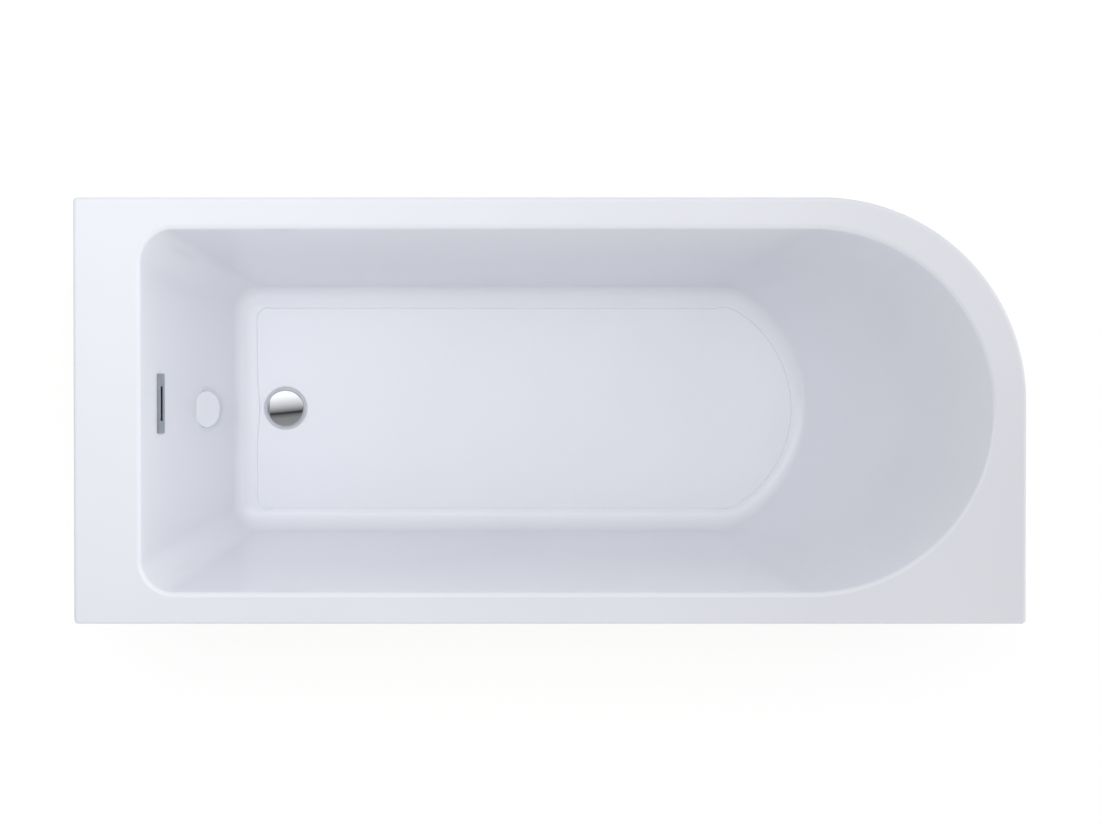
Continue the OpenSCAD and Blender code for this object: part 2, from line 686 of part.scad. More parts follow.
// The cartridge screws into the flange's hub and guides the plug's stem
stem_r = 4;
cartridge_low = flange_low - 8;
cartridge_top = flange_z - 1.5;
plug_low = flange_z + flange_t + 1.6;
module plug_cartridge() color(grey_plastic) at_waste() {
    difference() {
        union() {
            translate([0, 0, cartridge_low])
                cylinder(r = hub_bore - run_fit, h = cartridge_top - cartridge_low);
            translate([0, 0, flange_low + 2 + hub_h + fit]) cylinder(r = hub_bore + 2, h = 4, $fn = 6);
        }
        translate([0, 0, cartridge_low + 3]) cylinder(r = stem_r + run_fit, h = cartridge_top);
    }
}
module plug() color(chrome) at_waste() {
    dome_r = (plug_r * plug_r + plug_crown * plug_crown) / (2 * plug_crown);
    edge_h = 2;
    translate([0, 0, plug_low]) {
        cylinder(r = plug_r, h = edge_h);
        translate([0, 0, edge_h]) intersection() {
            translate([0, 0, plug_crown - dome_r]) sphere(dome_r, $fn = 128);
            cylinder(r = plug_r, h = plug_crown + 1);
        }
    }
    translate([0, 0, cartridge_low + 4]) cylinder(r = stem_r, h = plug_low - cartridge_low - 3);
}
plug_seal_t = 1.3;
module plug_seal() color(black) at_waste() translate([0, 0, plug_low - plug_seal_t])
    ring(flange_bore + 6, stem_r + 8, plug_seal_t);

// Waste body: takes the flange's tail and the overflow's hose, and ends in the threaded tail
body_top = shell_under_z - body_seal_t;
body_r = 29;
body_low = body_top - 36;
tail_thread_r = 23.9;
tail_low = body_low - 18;
port_r = 12.5;
port_z = body_low + port_r + 0.5;
port_bore = 10;
port_l = 26;
module waste_body() color(white_plastic) at_waste() {
    difference() {
        union() {
            translate([0, 0, body_top - 4]) cylinder(r = waste_hole_r + 10, h = 4);
            translate([0, 0, body_low]) cylinder(r = body_r, h = body_top - body_low);
            translate([0, 0, tail_low]) cylinder(r = tail_thread_r, h = body_low - tail_low + 1);
            translate([0, 0, port_z]) rotate([0, -90, 0]) cylinder(r = port_r, h = body_r + port_l);
        }
        translate([0, 0, flange_low - 1]) cylinder(r = tail_r + run_fit, h = body_top);
        translate([0, 0, body_low + 2]) cylinder(r = tail_r - 2, h = body_top - body_low);
        translate([0, 0, tail_low - eps]) cylinder(r = waste_bore_r, h = body_top);
        translate([0, 0, port_z]) rotate([0, -90, 0]) cylinder(r = port_bore, h = body_r + port_l + eps);
    }
}
// Trap: nut on the tail, body with the dip tube and the outlet arm, and the cup
nut_bore = tail_thread_r + run_fit;
tail_nut_h = 17;
trap_top = tail_low - seal_t;
trap_flange_r = tail_thread_r - 1;
cup_r = 38;
cup_h = 31;
trap_wall = 3;
arm_in_r = waste_bore_r + trap_wall;
arm_r = pipe_r + trap_wall + 0.5;
cup_top = trap_top - 9;
arm_z = cup_top - arm_in_r - 1;
cup_split = arm_z - arm_in_r - 0.5;
cup_low = cup_split - cup_h;
dip_low = cup_low + 10;
socket_start = cup_r + 10;
module ribbed_nut(outer, bore, lip_bore, h) {
    difference() {
        union() {
            cylinder(r = outer, h = h);
            for (a = [0 : 30 : 330]) rotate(a) translate([outer - 1, -2.5, 0]) cube([3, 5, h]);
        }
        translate([0, 0, 3]) cylinder(r = bore, h = h);
        translate([0, 0, -eps]) cylinder(r = lip_bore, h = h);
    }
}
module tail_nut() color(white_plastic) at_waste() translate([0, 0, trap_top - trap_wall - 3])
    ribbed_nut(tail_thread_r + 4, nut_bore, arm_in_r + run_fit, tail_nut_h);
module tail_seal() color(black) at_waste() translate([0, 0, trap_top])
    ring(trap_flange_r, waste_bore_r, seal_t);
module along_arm(y) translate([0, -y, arm_z]) rotate([90, 0, 0]) children();
module trap_body() color(white_plastic) at_waste() {
    difference() {
        union() {
            translate([0, 0, trap_top - trap_wall]) cylinder(r = trap_flange_r, h = trap_wall);
            translate([0, 0, cup_top - 2]) cylinder(r = arm_in_r, h = trap_top - cup_top + 1);
            translate([0, 0, cup_split]) cylinder(r = cup_r, h = cup_top - cup_split);
            along_arm(0) cylinder(r = arm_in_r, h = trap_arm);
            along_arm(socket_start) cylinder(r = arm_r, h = trap_arm - socket_start);
        }
        translate([0, 0, cup_low]) cylinder(r = cup_r - trap_wall, h = cup_top - trap_wall - cup_low);
        along_arm(0) cylinder(r = waste_bore_r, h = trap_arm + eps);
        along_arm(socket_start + trap_wall) cylinder(r = pipe_r + pipe_play, h = trap_arm);
        translate([0, 0, cup_low]) cylinder(r = waste_bore_r, h = trap_top);
    }
    difference() {
        translate([0, 0, dip_low]) cylinder(r = waste_bore_r + 2.5, h = cup_top - dip_low - 1);
        translate([0, 0, cup_low]) cylinder(r = waste_bore_r, h = trap_top);
    }
}
cup_seal_t = 2;
module trap_cup() color(white_plastic) at_waste() {
    difference() {
        union() {
            translate([0, 0, cup_low]) cylinder(r = cup_r, h = cup_h - cup_seal_t);
            for (a = [0 : 30 : 330]) rotate(a) translate([cup_r - 1, -3, cup_low + 2])
                cube([3, 6, cup_h - cup_seal_t - 8]);
        }
        translate([0, 0, cup_low + trap_wall]) cylinder(r = cup_r - trap_wall, h = cup_h);
    }
}
module trap_cup_seal() color(black) at_waste() translate([0, 0, cup_split - cup_seal_t])
    ring(cup_r - 0.5, cup_r - trap_wall + 0.2, cup_seal_t);
module outlet_frame() translate([waste_x, -trap_arm, arm_z]) rotate([90, 0, 0]) children();
outlet_nut_h = 22;
module outlet_nut() color(white_plastic) outlet_frame() translate([0, 0, 5 - outlet_nut_h + 3]) difference() {
    union() {
        cylinder(r = arm_r + 4, h = outlet_nut_h);
        for (a = [0 : 30 : 330]) rotate(a) translate([arm_r + 3, -2.5, 0]) cube([3, 5, outlet_nut_h]);
    }
    translate([0, 0, -eps]) cylinder(r = arm_r + run_fit, h = outlet_nut_h - 3 + eps);
    cylinder(r = pipe_r + pipe_play, h = outlet_nut_h + eps);
}
module outlet_seal() color(black) outlet_frame() ring(arm_r - 0.5, pipe_r + pipe_play, 4);

// Overflow: cover inside the basin, seal and body behind the wall, hose down to the waste
seal_l = cover_l + 8;
seal_w = cover_w + 10;
back_z = -acrylic_t;
overflow_flange_t = 4;
overflow_flange_z = back_z - seal_t - overflow_flange_t;
spigot_z = -34;
box_low = spigot_z - port_r - 4;
box_w = 26;
spigot_end = 44;
module overflow_cover() color(grey_plastic) at_overflow() {
    translate([0, 0, fit]) difference() {
        linear_extrude(cover_t) rounded_rect(cover_w, cover_l, 2);
        translate([0, 0, -eps]) linear_extrude(cover_t + 2 * eps) square([slot_w, slot_l], center = true);
    }
    for (j = [-1, 1]) translate([0, j * cover_stud_y, overflow_flange_z - 10])
        cylinder(r = cover_stud_r, h = fit + 0.5 + 10 - overflow_flange_z);
}
module overflow_seal() color(black) at_overflow() difference() {
    translate([0, 0, back_z - seal_t]) linear_extrude(seal_t) rounded_rect(seal_w, seal_l, 6);
    overflow_opening(-20, 5);
}
module overflow_body() color(white_plastic) at_overflow() difference() {
    union() {
        translate([0, 0, overflow_flange_z]) linear_extrude(overflow_flange_t)
            rounded_rect(seal_w, seal_l, 6);
        translate([-box_w / 2, -wall_slot_l / 2 - 3, box_low])
            cube([box_w, wall_slot_l + 6, overflow_flange_z - box_low + 1]);
        translate([0, 0, spigot_z]) rotate([0, 90, 0]) cylinder(r = port_r, h = spigot_end);
    }
    overflow_opening(overflow_flange_z - 1, 5);
    translate([3 - box_w / 2, -wall_slot_l / 2, box_low + 3])
        cube([box_w - 6, wall_slot_l, overflow_flange_z - box_low - 3 + eps]);
    translate([0, 0, spigot_z]) rotate([0, 90, 0]) cylinder(r = port_bore, h = spigot_end + eps);
}
module overflow_nuts() color(zinc) at_overflow() for (j = [-1, 1])
    translate([0, j * cover_stud_y, overflow_flange_z - 4]) hex_nut(8, cover_stud_r + run_fit, 4);

// Hose: one Bezier curve from the overflow's spigot to the waste body's port
collar_l = 16;
collar_lip = 2;
hose_cuff = collar_l - collar_lip + 2;
hose_grip = 12;
down = [cos(tap_angle), 0, -sin(tap_angle)];
out = [sin(tap_angle), 0, cos(tap_angle)];
spigot_point = [overflow_x, overflow_y, bath_h - overflow_drop] + spigot_z * out
    + (spigot_end - hose_grip) * down;
port_point = [waste_x - body_r - port_l + hose_grip, 0, port_z];
hose_start = spigot_point + hose_cuff * down;
hose_finish = port_point - [hose_cuff, 0, 0];
hose_lead = 175;
hose_tail = 85;
hose_sides = 8;
hose_valley = hose_r - 1.6;
hose_bore = port_r / cos(180 / hose_sides) + 0.25;
hose_control = [hose_start, hose_start + hose_lead * down, hose_finish - [hose_tail, 0, 0], hose_finish];
function bezier(c, t) = pow(1 - t, 3) * c[0] + 3 * pow(1 - t, 2) * t * c[1]
    + 3 * (1 - t) * t * t * c[2] + pow(t, 3) * c[3];
function bezier_way(c, t) = pow(1 - t, 2) * (c[1] - c[0]) + 2 * (1 - t) * t * (c[2] - c[1])
    + t * t * (c[3] - c[2]);
function unit(v) = v / norm(v);
function travel(c, n) = [for (i = 0, l = 0; i <= n;
    l = l + norm(bezier(c, (i + 1) / n) - bezier(c, i / n)), i = i + 1) [l, i / n]];
hose_table = travel(hose_control, 100);
hose_l = hose_table[100][0] + 2 * hose_cuff;
// Middle and direction of the hose at a length along it: straight over both cuffs, curved between
function hose_middle(l) =
    l < hose_cuff ? spigot_point + l * down
    : l > hose_l - hose_cuff ? port_point - [hose_l - l, 0, 0]
    : bezier(hose_control, lookup(l - hose_cuff, hose_table));
function hose_way(l) =
    l < hose_cuff ? down
    : l > hose_l - hose_cuff ? [1, 0, 0]
    : unit(bezier_way(hose_control, lookup(l - hose_cuff, hose_table)));
function hose_ring(l, r) =
    let (w = hose_way(l), n = unit(cross([0, 1, 0], w)), b = cross(w, n))
    [for (k = [0 : hose_sides - 1]) let (a = 360 * (k + 0.5) / hose_sides)
        hose_middle(l) + r * (cos(a) * n + sin(a) * b)];
module overflow_hose() color(grey_plastic) {
    pitch = (hose_l - 2 * hose_cuff) / hose_ribs;
    outer = concat([[0, hose_valley], [hose_cuff, hose_valley]],
        [for (i = [0 : hose_ribs - 1]) for (k = [0, 1])
            [hose_cuff + (i + 0.3 + 0.5 * k) * pitch, k == 0 ? hose_r : hose_valley]],
        [[hose_l, hose_valley]]);
    inner = concat([[hose_l, hose_bore]],
        [for (i = [24 : -1 : 0]) [hose_cuff + (hose_l - 2 * hose_cuff) * i / 24, hose_bore]],
        [[0, hose_bore]]);
    rings = concat(outer, inner);
    m = len(rings);
    points = [for (g = rings) each hose_ring(g[0], g[1])];
    faces = [for (j = [0 : m - 1], k = [0 : hose_sides - 1])
        let (a = j * hose_sides, b = ((j + 1) % m) * hose_sides, n = (k + 1) % hose_sides)
        for (face = [[a + k, b + k, b + n], [a + k, b + n, a + n]]) face];
    polyhedron(points, faces, convexity = 6);
}
// Collar: its lip sits on the spigot, its sleeve on the hose's plain end
module hose_collar() {
    difference() {
        union() {
            cylinder(r = hose_r + 3, h = collar_l);
            for (a = [0 : 45 : 315]) rotate(a) translate([hose_r + 2, -2, 0]) cube([2.5, 4, collar_l]);
        }
        translate([0, 0, collar_lip]) cylinder(r = hose_valley + fit, h = collar_l);
        translate([0, 0, -eps]) cylinder(r = port_r + fit, h = collar_l);
    }
}
module hose_collar_upper() color(white_plastic) at_overflow()
    translate([spigot_end - hose_grip - collar_lip, 0, spigot_z]) rotate([0, 90, 0]) hose_collar();
module hose_collar_lower() color(white_plastic)
    translate(port_point + [collar_lip, 0, 0]) rotate([0, -90, 0]) hose_collar();

bath_shell();
fibreglass_coat();
base_board();
rim_strip_room();
rim_strip_wall();
rim_board_tap();
rim_strip_head();
channel_tap();
channel_head();
channel_screws();
centre_plate();
plate_screws();
weld_nuts();
lock_nuts();
foot_stud(1);  // foot_stud_1
foot_stud(2);  // foot_stud_2
foot_stud(3);  // foot_stud_3
foot_stud(4);  // foot_stud_4
foot_stud(5);  // foot_stud_5
foot_pad(1);  // foot_pad_1
foot_pad(2);  // foot_pad_2
foot_pad(3);  // foot_pad_3
foot_pad(4);  // foot_pad_4
foot_pad(5);  // foot_pad_5
wall_brackets();
bracket_screws();
bath_panel();
panel_clips();
clip_screws();
plinth_room();
plinth_head();
panel_screws();
screw_caps();
plug();
plug_seal();
plug_cartridge();
waste_flange();
flange_seal();
body_seal();
waste_body();
tail_nut();
tail_seal();
trap_body();
trap_cup();
trap_cup_seal();
outlet_nut();
outlet_seal();
overflow_cover();
overflow_seal();
overflow_body();
overflow_nuts();
overflow_hose();
hose_collar_upper();
hose_collar_lower();
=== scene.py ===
# %% [markdown]
# # A shower bath with one large rounded corner
# The real object is a sheet of white acrylic, heated and drawn into a mould, stiffened with glass fibre and
# set on a levelling frame. The photograph looks straight down into it. Everything here is in metres, in the
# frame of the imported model, and the lengths below are written in millimetres and scaled once by MM.

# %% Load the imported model
import math

import bmesh
import bpy
from mathutils import Matrix, Vector


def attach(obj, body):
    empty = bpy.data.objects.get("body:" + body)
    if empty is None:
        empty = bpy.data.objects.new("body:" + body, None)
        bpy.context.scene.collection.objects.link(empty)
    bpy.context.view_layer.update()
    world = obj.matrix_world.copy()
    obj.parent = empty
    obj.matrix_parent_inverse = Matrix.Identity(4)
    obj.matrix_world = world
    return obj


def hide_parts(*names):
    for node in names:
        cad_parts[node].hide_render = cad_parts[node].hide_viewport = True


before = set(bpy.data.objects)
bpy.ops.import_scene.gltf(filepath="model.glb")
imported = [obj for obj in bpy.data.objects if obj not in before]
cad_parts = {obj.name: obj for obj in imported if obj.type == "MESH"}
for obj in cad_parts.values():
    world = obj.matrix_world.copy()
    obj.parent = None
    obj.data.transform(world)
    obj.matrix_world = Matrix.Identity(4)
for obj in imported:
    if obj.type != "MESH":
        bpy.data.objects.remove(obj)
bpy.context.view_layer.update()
MM = 0.001
scene = bpy.context.scene

# %% [markdown]
# ## Camera
# The photograph was taken from straight above, far enough for the long walls to show about 80 pixels each.
# A depth of 400 mm and that much wall put the camera 3.95 m above the rim. The rim's length in pixels then
# gives the lens. The frame is 1100 pixels wide. The lower wall shows 5 pixels more than the upper one, so the
# camera stands 50 mm towards the room side and looks back at the middle of the rim.

# %% Camera over the middle of the rim
RIM_Z = 560
CAMERA_RISE = 3950
CAMERA_ASIDE = 50
AIM_ASIDE = -2
FRAME_PX = 1100
RIM_PX_PER_MM = 0.5696
SENSOR = 36

camera_data = bpy.data.cameras.new("overhead_camera")
camera_data.sensor_width = SENSOR
camera_data.lens = SENSOR * CAMERA_RISE * RIM_PX_PER_MM / FRAME_PX
camera_data.clip_end = 60
camera = bpy.data.objects.new("overhead_camera", camera_data)
camera.location = (0, CAMERA_ASIDE * MM, (RIM_Z + CAMERA_RISE) * MM)
camera.rotation_euler = (-math.atan2(CAMERA_ASIDE - AIM_ASIDE, CAMERA_RISE), 0, 0)
scene.collection.objects.link(camera)
scene.camera = camera
print("lens", round(camera_data.lens, 2), "mm")

# %% [markdown]
# ## Finishes
# Colours are written as sRGB hex values, and one function turns them into the linear values that Blender
# works with. One more function adds a node with its settings, values and links. A value that is
# the same all over a surface goes straight on the shader's socket.

# %% Colour and node helpers
def linear(hex_text):
    """sRGB hex to linear RGBA."""
    channels = [int(hex_text[i:i + 2], 16) / 255 for i in (1, 3, 5)]
    return [c / 12.92 if c <= 0.04045 else ((c + 0.055) / 1.055) ** 2.4 for c in channels] + [1.0]


def feed(tree, node, links):
    """Link sockets into a node's inputs. A node in place of a socket gives its first output."""
    for name, source in links.items():
        socket = source.outputs[0] if isinstance(source, bpy.types.Node) else source
        tree.links.new(socket, node.inputs[name])


def add_node(tree, kind, settings=(), values=(), links=()):
    """One node of any kind. Inputs are named, or numbered where two share a name."""
    node = tree.nodes.new(kind)
    for name, value in dict(settings).items():
        setattr(node, name, value)
    for name, value in dict(values).items():
        node.inputs[name].default_value = value
    feed(tree, node, dict(links))
    return node


def set_ramp(node, steps):
    """Steps of (position, colour) on a colour ramp. A colour is sRGB hex text or a grey value."""
    elements = node.color_ramp.elements
    while len(elements) < len(steps):
        elements.new(0.5)
    for element, (at, colour) in zip(elements, steps):
        element.position = at
        element.color = linear(colour) if isinstance(colour, str) else (colour, colour, colour, 1)


def new_finish(name, colour, roughness, metallic=0.0, ior=1.5):
    """A material whose shader has its even values set. Returns it with its tree and shader."""
    finish = bpy.data.materials.new(name)
    finish.use_nodes = True
    shader = finish.node_tree.nodes["Principled BSDF"]
    shader.inputs["Base Color"].default_value = linear(colour)
    shader.inputs["Roughness"].default_value = roughness
    shader.inputs["Metallic"].default_value = metallic
    shader.inputs["IOR"].default_value = ior
    return finish, finish.node_tree, shader


def per_mm(size):
    """Texture scale, in repeats per metre, of a pattern whose grain is that many millimetres."""
    return 1 / (size * MM)


# %% [markdown]
# ### Sanitary acrylic
# Cast acrylic is glossy and very slightly milky. Drawing it into the mould leaves it a little wavy, which the
# eye reads in soft reflections. The colour drifts by about one percent where the sheet was stretched thinner.

# %% Acrylic of the bath and its panel
def make_acrylic():
    finish, tree, shader = new_finish("thermoformed_white_acrylic", "#E6E8EF", 0.12, ior=1.49)
    shader.inputs["Coat Weight"].default_value = 0.25
    shader.inputs["Coat Roughness"].default_value = 0.05
    place = add_node(tree, "ShaderNodeTexCoord").outputs["Object"]
    drift = add_node(tree, "ShaderNodeTexNoise", values={"Scale": per_mm(420), "Detail": 2.0},
                     links={"Vector": place})
    tint = add_node(tree, "ShaderNodeValToRGB", links={"Fac": drift})
    set_ramp(tint, [(0.35, "#E5E7EE"), (0.65, "#E8EAF1")])
    film = add_node(tree, "ShaderNodeTexNoise", values={"Scale": per_mm(60), "Detail": 5.0},
                    links={"Vector": place})
    gloss = add_node(tree, "ShaderNodeMapRange", values={"To Min": 0.09, "To Max": 0.17},
                     links={"Value": film})
    wave = add_node(tree, "ShaderNodeTexNoise", values={"Scale": per_mm(180), "Detail": 1.0},
                    links={"Vector": place})
    peel = add_node(tree, "ShaderNodeTexNoise", values={"Scale": per_mm(5), "Detail": 1.0},
                    links={"Vector": place})
    broad = add_node(tree, "ShaderNodeBump", values={"Strength": 0.35, "Distance": 0.6 * MM},
                     links={"Height": wave})
    fine = add_node(tree, "ShaderNodeBump", values={"Strength": 0.12, "Distance": 0.05 * MM},
                    links={"Height": peel, "Normal": broad})
    feed(tree, shader, {"Base Color": tint, "Roughness": gloss, "Normal": fine})
    return finish


acrylic = make_acrylic()
print("finish", acrylic.name)

# %% [markdown]
# ### Glass fibre
# The back of the bath is chopped glass strands rolled into polyester resin. Strands are about 50 mm long and
# 1 mm wide and lie in every direction, so six stretched noises are laid over each other, two slants for
# each of the three planes that the sheet's faces lie near. They are drawn 2 mm wide, so that they show.

# %% Hand-laid glass fibre and resin
def make_glass_fibre():
    finish, tree, shader = new_finish("hand_laid_glass_fibre_resin", "#D8D2BD", 0.42, ior=1.54)
    shader.inputs["Coat Weight"].default_value = 0.35
    shader.inputs["Coat Roughness"].default_value = 0.22
    place = add_node(tree, "ShaderNodeTexCoord").outputs["Object"]
    laid = None
    slants = ((0, 38, 0), (0, -47, 0), (0, 0, 52), (0, 0, -34), (0, -41, 90), (0, 49, 90))
    for number, slant in enumerate(slants):
        turned = add_node(tree, "ShaderNodeMapping", {"vector_type": "TEXTURE"},
                          {"Rotation": [math.radians(a) for a in slant], "Scale": (40 * MM, 2 * MM, 2 * MM),
                           "Location": (0.13 * number, 0, 0)},
                          {"Vector": place})
        strands = add_node(tree, "ShaderNodeTexNoise",
                           values={"Scale": 1.0, "Detail": 1.5, "Distortion": 0.35},
                           links={"Vector": turned})
        if laid is None:
            laid = strands
        else:
            both = add_node(tree, "ShaderNodeMath", {"operation": "MAXIMUM"}, links={0: laid, 1: strands})
            laid = both
    tint = add_node(tree, "ShaderNodeValToRGB", links={"Fac": laid})
    set_ramp(tint, [(0.58, "#C3BDA8"), (0.74, "#E8E5D9")])
    lumps = add_node(tree, "ShaderNodeTexNoise", values={"Scale": per_mm(35), "Detail": 3.0},
                     links={"Vector": place})
    uneven = add_node(tree, "ShaderNodeBump", values={"Strength": 0.5, "Distance": 2.0 * MM},
                      links={"Height": lumps})
    raised = add_node(tree, "ShaderNodeBump", values={"Strength": 0.6, "Distance": 0.5 * MM},
                      links={"Height": laid, "Normal": uneven})
    feed(tree, shader, {"Base Color": tint, "Normal": raised})
    return finish


glass_fibre = make_glass_fibre()
print("finish", glass_fibre.name)

# %% [markdown]
# ### Timber
# The rim strips and plinths are sawn softwood: pale early wood and darker late wood in rings about 5 mm
# apart, seen as long streaks along the piece. The base board is chipboard, whose flakes are 2 to 6 mm.

# %% Sawn softwood and chipboard
def make_softwood(name, grain_turn):
    finish, tree, shader = new_finish(name, "#D9B98A", 0.68)
    place = add_node(tree, "ShaderNodeTexCoord").outputs["Object"]
    turned = add_node(tree, "ShaderNodeMapping", values={"Rotation": (0, 0, grain_turn)},
                      links={"Vector": place})
    long_grain = add_node(tree, "ShaderNodeMapping", values={"Scale": (0.06, 1.0, 1.0)},
                          links={"Vector": turned})
    rings = add_node(tree, "ShaderNodeTexWave", {"wave_type": "RINGS", "rings_direction": "X"},
                     {"Scale": per_mm(13), "Distortion": 3.0, "Detail": 2.0, "Detail Scale": 1.2},
                     {"Vector": long_grain})
    tint = add_node(tree, "ShaderNodeValToRGB", links={"Fac": rings.outputs["Fac"]})
    set_ramp(tint, [(0, "#E4CBA2"), (1, "#CFAA78")])
    fibres = add_node(tree, "ShaderNodeTexNoise", values={"Scale": per_mm(1.2), "Detail": 3.0},
                      links={"Vector": long_grain})
    shade = add_node(tree, "ShaderNodeMix", {"data_type": "RGBA", "blend_type": "MULTIPLY"},
                     {0: 0.3}, {6: tint, 7: fibres.outputs["Color"]})
    sawn = add_node(tree, "ShaderNodeTexWave", {"bands_direction": "X"},
                    {"Scale": per_mm(22), "Distortion": 1.0}, {"Vector": turned})
    rough = add_node(tree, "ShaderNodeBump", values={"Strength": 0.25, "Distance": 0.2 * MM},
                     links={"Height": sawn.outputs["Fac"]})
    hairy = add_node(tree, "ShaderNodeBump", values={"Strength": 0.5, "Distance": 0.15 * MM},
                     links={"Height": fibres, "Normal": rough})
    feed(tree, shader, {"Base Color": shade.outputs[2], "Normal": hairy})
    return finish


def make_chipboard():
    finish, tree, shader = new_finish("pressed_chipboard", "#C6A777", 0.72)
    place = add_node(tree, "ShaderNodeTexCoord").outputs["Object"]
    flakes = add_node(tree, "ShaderNodeTexVoronoi", values={"Scale": per_mm(4.5)}, links={"Vector": place})
    tint = add_node(tree, "ShaderNodeValToRGB", links={"Fac": flakes.outputs["Color"]})
    set_ramp(tint, [(0, "#A98456"), (1, "#DCC197")])
    dust = add_node(tree, "ShaderNodeTexNoise", values={"Scale": per_mm(1.1), "Detail": 4.0},
                    links={"Vector": place})
    shade = add_node(tree, "ShaderNodeMix", {"data_type": "RGBA", "blend_type": "MULTIPLY"},
                     {0: 0.35}, {6: tint, 7: dust.outputs["Color"]})
    pits = add_node(tree, "ShaderNodeBump", values={"Strength": 0.45, "Distance": 0.3 * MM},
                    links={"Height": flakes.outputs["Distance"]})
    feed(tree, shader, {"Base Color": shade.outputs[2], "Normal": pits})
    return finish


softwood_along_x = make_softwood("sawn_softwood_along_the_bath", 0)
softwood_along_y = make_softwood("sawn_softwood_across_the_bath", math.pi / 2)
chipboard = make_chipboard()
print("finishes", softwood_along_x.name, softwood_along_y.name, chipboard.name)

# %% [markdown]
# ### Metals
# Zinc plate is a soft grey with faint clouds of crystals. The plug is chromium plate on brass, almost a
# mirror with a trace of haze. The overflow cover is brushed stainless steel: fine scratches along its length
# make it dull in the photograph.

# %% Zinc plate, chromium plate and brushed steel
def make_zinc_plate():
    finish, tree, shader = new_finish("zinc_plated_steel", "#B9BDC2", 0.34, metallic=1.0)
    place = add_node(tree, "ShaderNodeTexCoord").outputs["Object"]
    crystals = add_node(tree, "ShaderNodeTexVoronoi", values={"Scale": per_mm(9)}, links={"Vector": place})
    tint = add_node(tree, "ShaderNodeValToRGB", links={"Fac": crystals.outputs["Color"]})
    set_ramp(tint, [(0, "#A9AEB4"), (1, "#C8CBCF")])
    clouds = add_node(tree, "ShaderNodeTexNoise", values={"Scale": per_mm(14), "Detail": 4.0},
                      links={"Vector": place})
    haze = add_node(tree, "ShaderNodeMapRange", values={"To Min": 0.24, "To Max": 0.46},
                    links={"Value": clouds})
    grain = add_node(tree, "ShaderNodeBump", values={"Strength": 0.2, "Distance": 0.05 * MM},
                     links={"Height": clouds})
    feed(tree, shader, {"Base Color": tint, "Roughness": haze, "Normal": grain})
    return finish


def make_chromium():
    finish, tree, shader = new_finish("polished_chromium_plate", "#C8CACD", 0.05, metallic=1.0)
    place = add_node(tree, "ShaderNodeTexCoord").outputs["Object"]
    wipes = add_node(tree, "ShaderNodeTexNoise", values={"Scale": per_mm(16), "Detail": 6.0},
                     links={"Vector": place})
    haze = add_node(tree, "ShaderNodeMapRange", values={"To Min": 0.02, "To Max": 0.09},
                    links={"Value": wipes})
    feed(tree, shader, {"Roughness": haze})
    return finish


def make_brushed_steel():
    finish, tree, shader = new_finish("brushed_stainless_steel", "#ABAFB6", 0.36, metallic=1.0)
    place = add_node(tree, "ShaderNodeTexCoord").outputs["Object"]
    drawn = add_node(tree, "ShaderNodeMapping", values={"Scale": (per_mm(0.4), per_mm(30), per_mm(0.4))},
                     links={"Vector": place})
    scratches = add_node(tree, "ShaderNodeTexNoise", values={"Scale": 1.0, "Detail": 3.0},
                         links={"Vector": drawn})
    tint = add_node(tree, "ShaderNodeValToRGB", links={"Fac": scratches})
    set_ramp(tint, [(0.3, "#A1A5AC"), (0.7, "#B5B9C0")])
    lines = add_node(tree, "ShaderNodeBump", values={"Strength": 0.3, "Distance": 0.03 * MM},
                     links={"Height": scratches})
    feed(tree, shader, {"Base Color": tint, "Normal": lines})
    return finish


zinc_plate = make_zinc_plate()
chromium = make_chromium()
brushed_steel = make_brushed_steel()
print("finishes", zinc_plate.name, chromium.name, brushed_steel.name)

# %% [markdown]
# ### Plastics and rubber
# The waste, trap and collars are moulded polypropylene with a fine spark-eroded texture. The hose is blown
# PVC. Seals are EPDM rubber, and the foot pads are glass-filled nylon. They differ in colour, in the size of
# their surface texture and in gloss, so one function takes those three.

# %% Moulded plastics and rubber
def make_moulded(name, dark, light, roughness, texture_mm, depth_mm, milky=0.0):
    finish, tree, shader = new_finish(name, light, roughness, ior=1.49)
    shader.inputs["Subsurface Weight"].default_value = milky
    shader.inputs["Subsurface Radius"].default_value = (1.0, 1.0, 0.9)
    shader.inputs["Subsurface Scale"].default_value = 1.5 * MM
    place = add_node(tree, "ShaderNodeTexCoord").outputs["Object"]
    flow = add_node(tree, "ShaderNodeTexNoise", values={"Scale": per_mm(45), "Detail": 3.0},
                    links={"Vector": place})
    tint = add_node(tree, "ShaderNodeValToRGB", links={"Fac": flow})
    set_ramp(tint, [(0.3, dark), (0.7, light)])
    gloss = add_node(tree, "ShaderNodeMapRange",
                     values={"To Min": roughness - 0.06, "To Max": roughness + 0.08},
                     links={"Value": flow})
    texture = add_node(tree, "ShaderNodeTexNoise", values={"Scale": per_mm(texture_mm), "Detail": 2.0},
                       links={"Vector": place})
    grain = add_node(tree, "ShaderNodeBump", values={"Strength": 0.4, "Distance": depth_mm * MM},
                     links={"Height": texture})
    feed(tree, shader, {"Base Color": tint, "Roughness": gloss, "Normal": grain})
    return finish


polypropylene = make_moulded("moulded_white_polypropylene", "#E4E5E4", "#EFF0EF", 0.34, 1.2, 0.05, 0.15)
grey_pvc = make_moulded("blown_grey_pvc", "#84888C", "#94989C", 0.38, 2.0, 0.05)
epdm_rubber = make_moulded("moulded_black_epdm_rubber", "#17181A", "#222325", 0.62, 0.8, 0.08)
black_nylon = make_moulded("glass_filled_black_nylon", "#131416", "#1D1E21", 0.46, 0.9, 0.06)
grey_acetal = make_moulded("moulded_grey_acetal", "#9A9DA1", "#A8ABAF", 0.36, 1.0, 0.04)
print("plastics", [m.name for m in (polypropylene, grey_pvc, epdm_rubber, black_nylon, grey_acetal)])

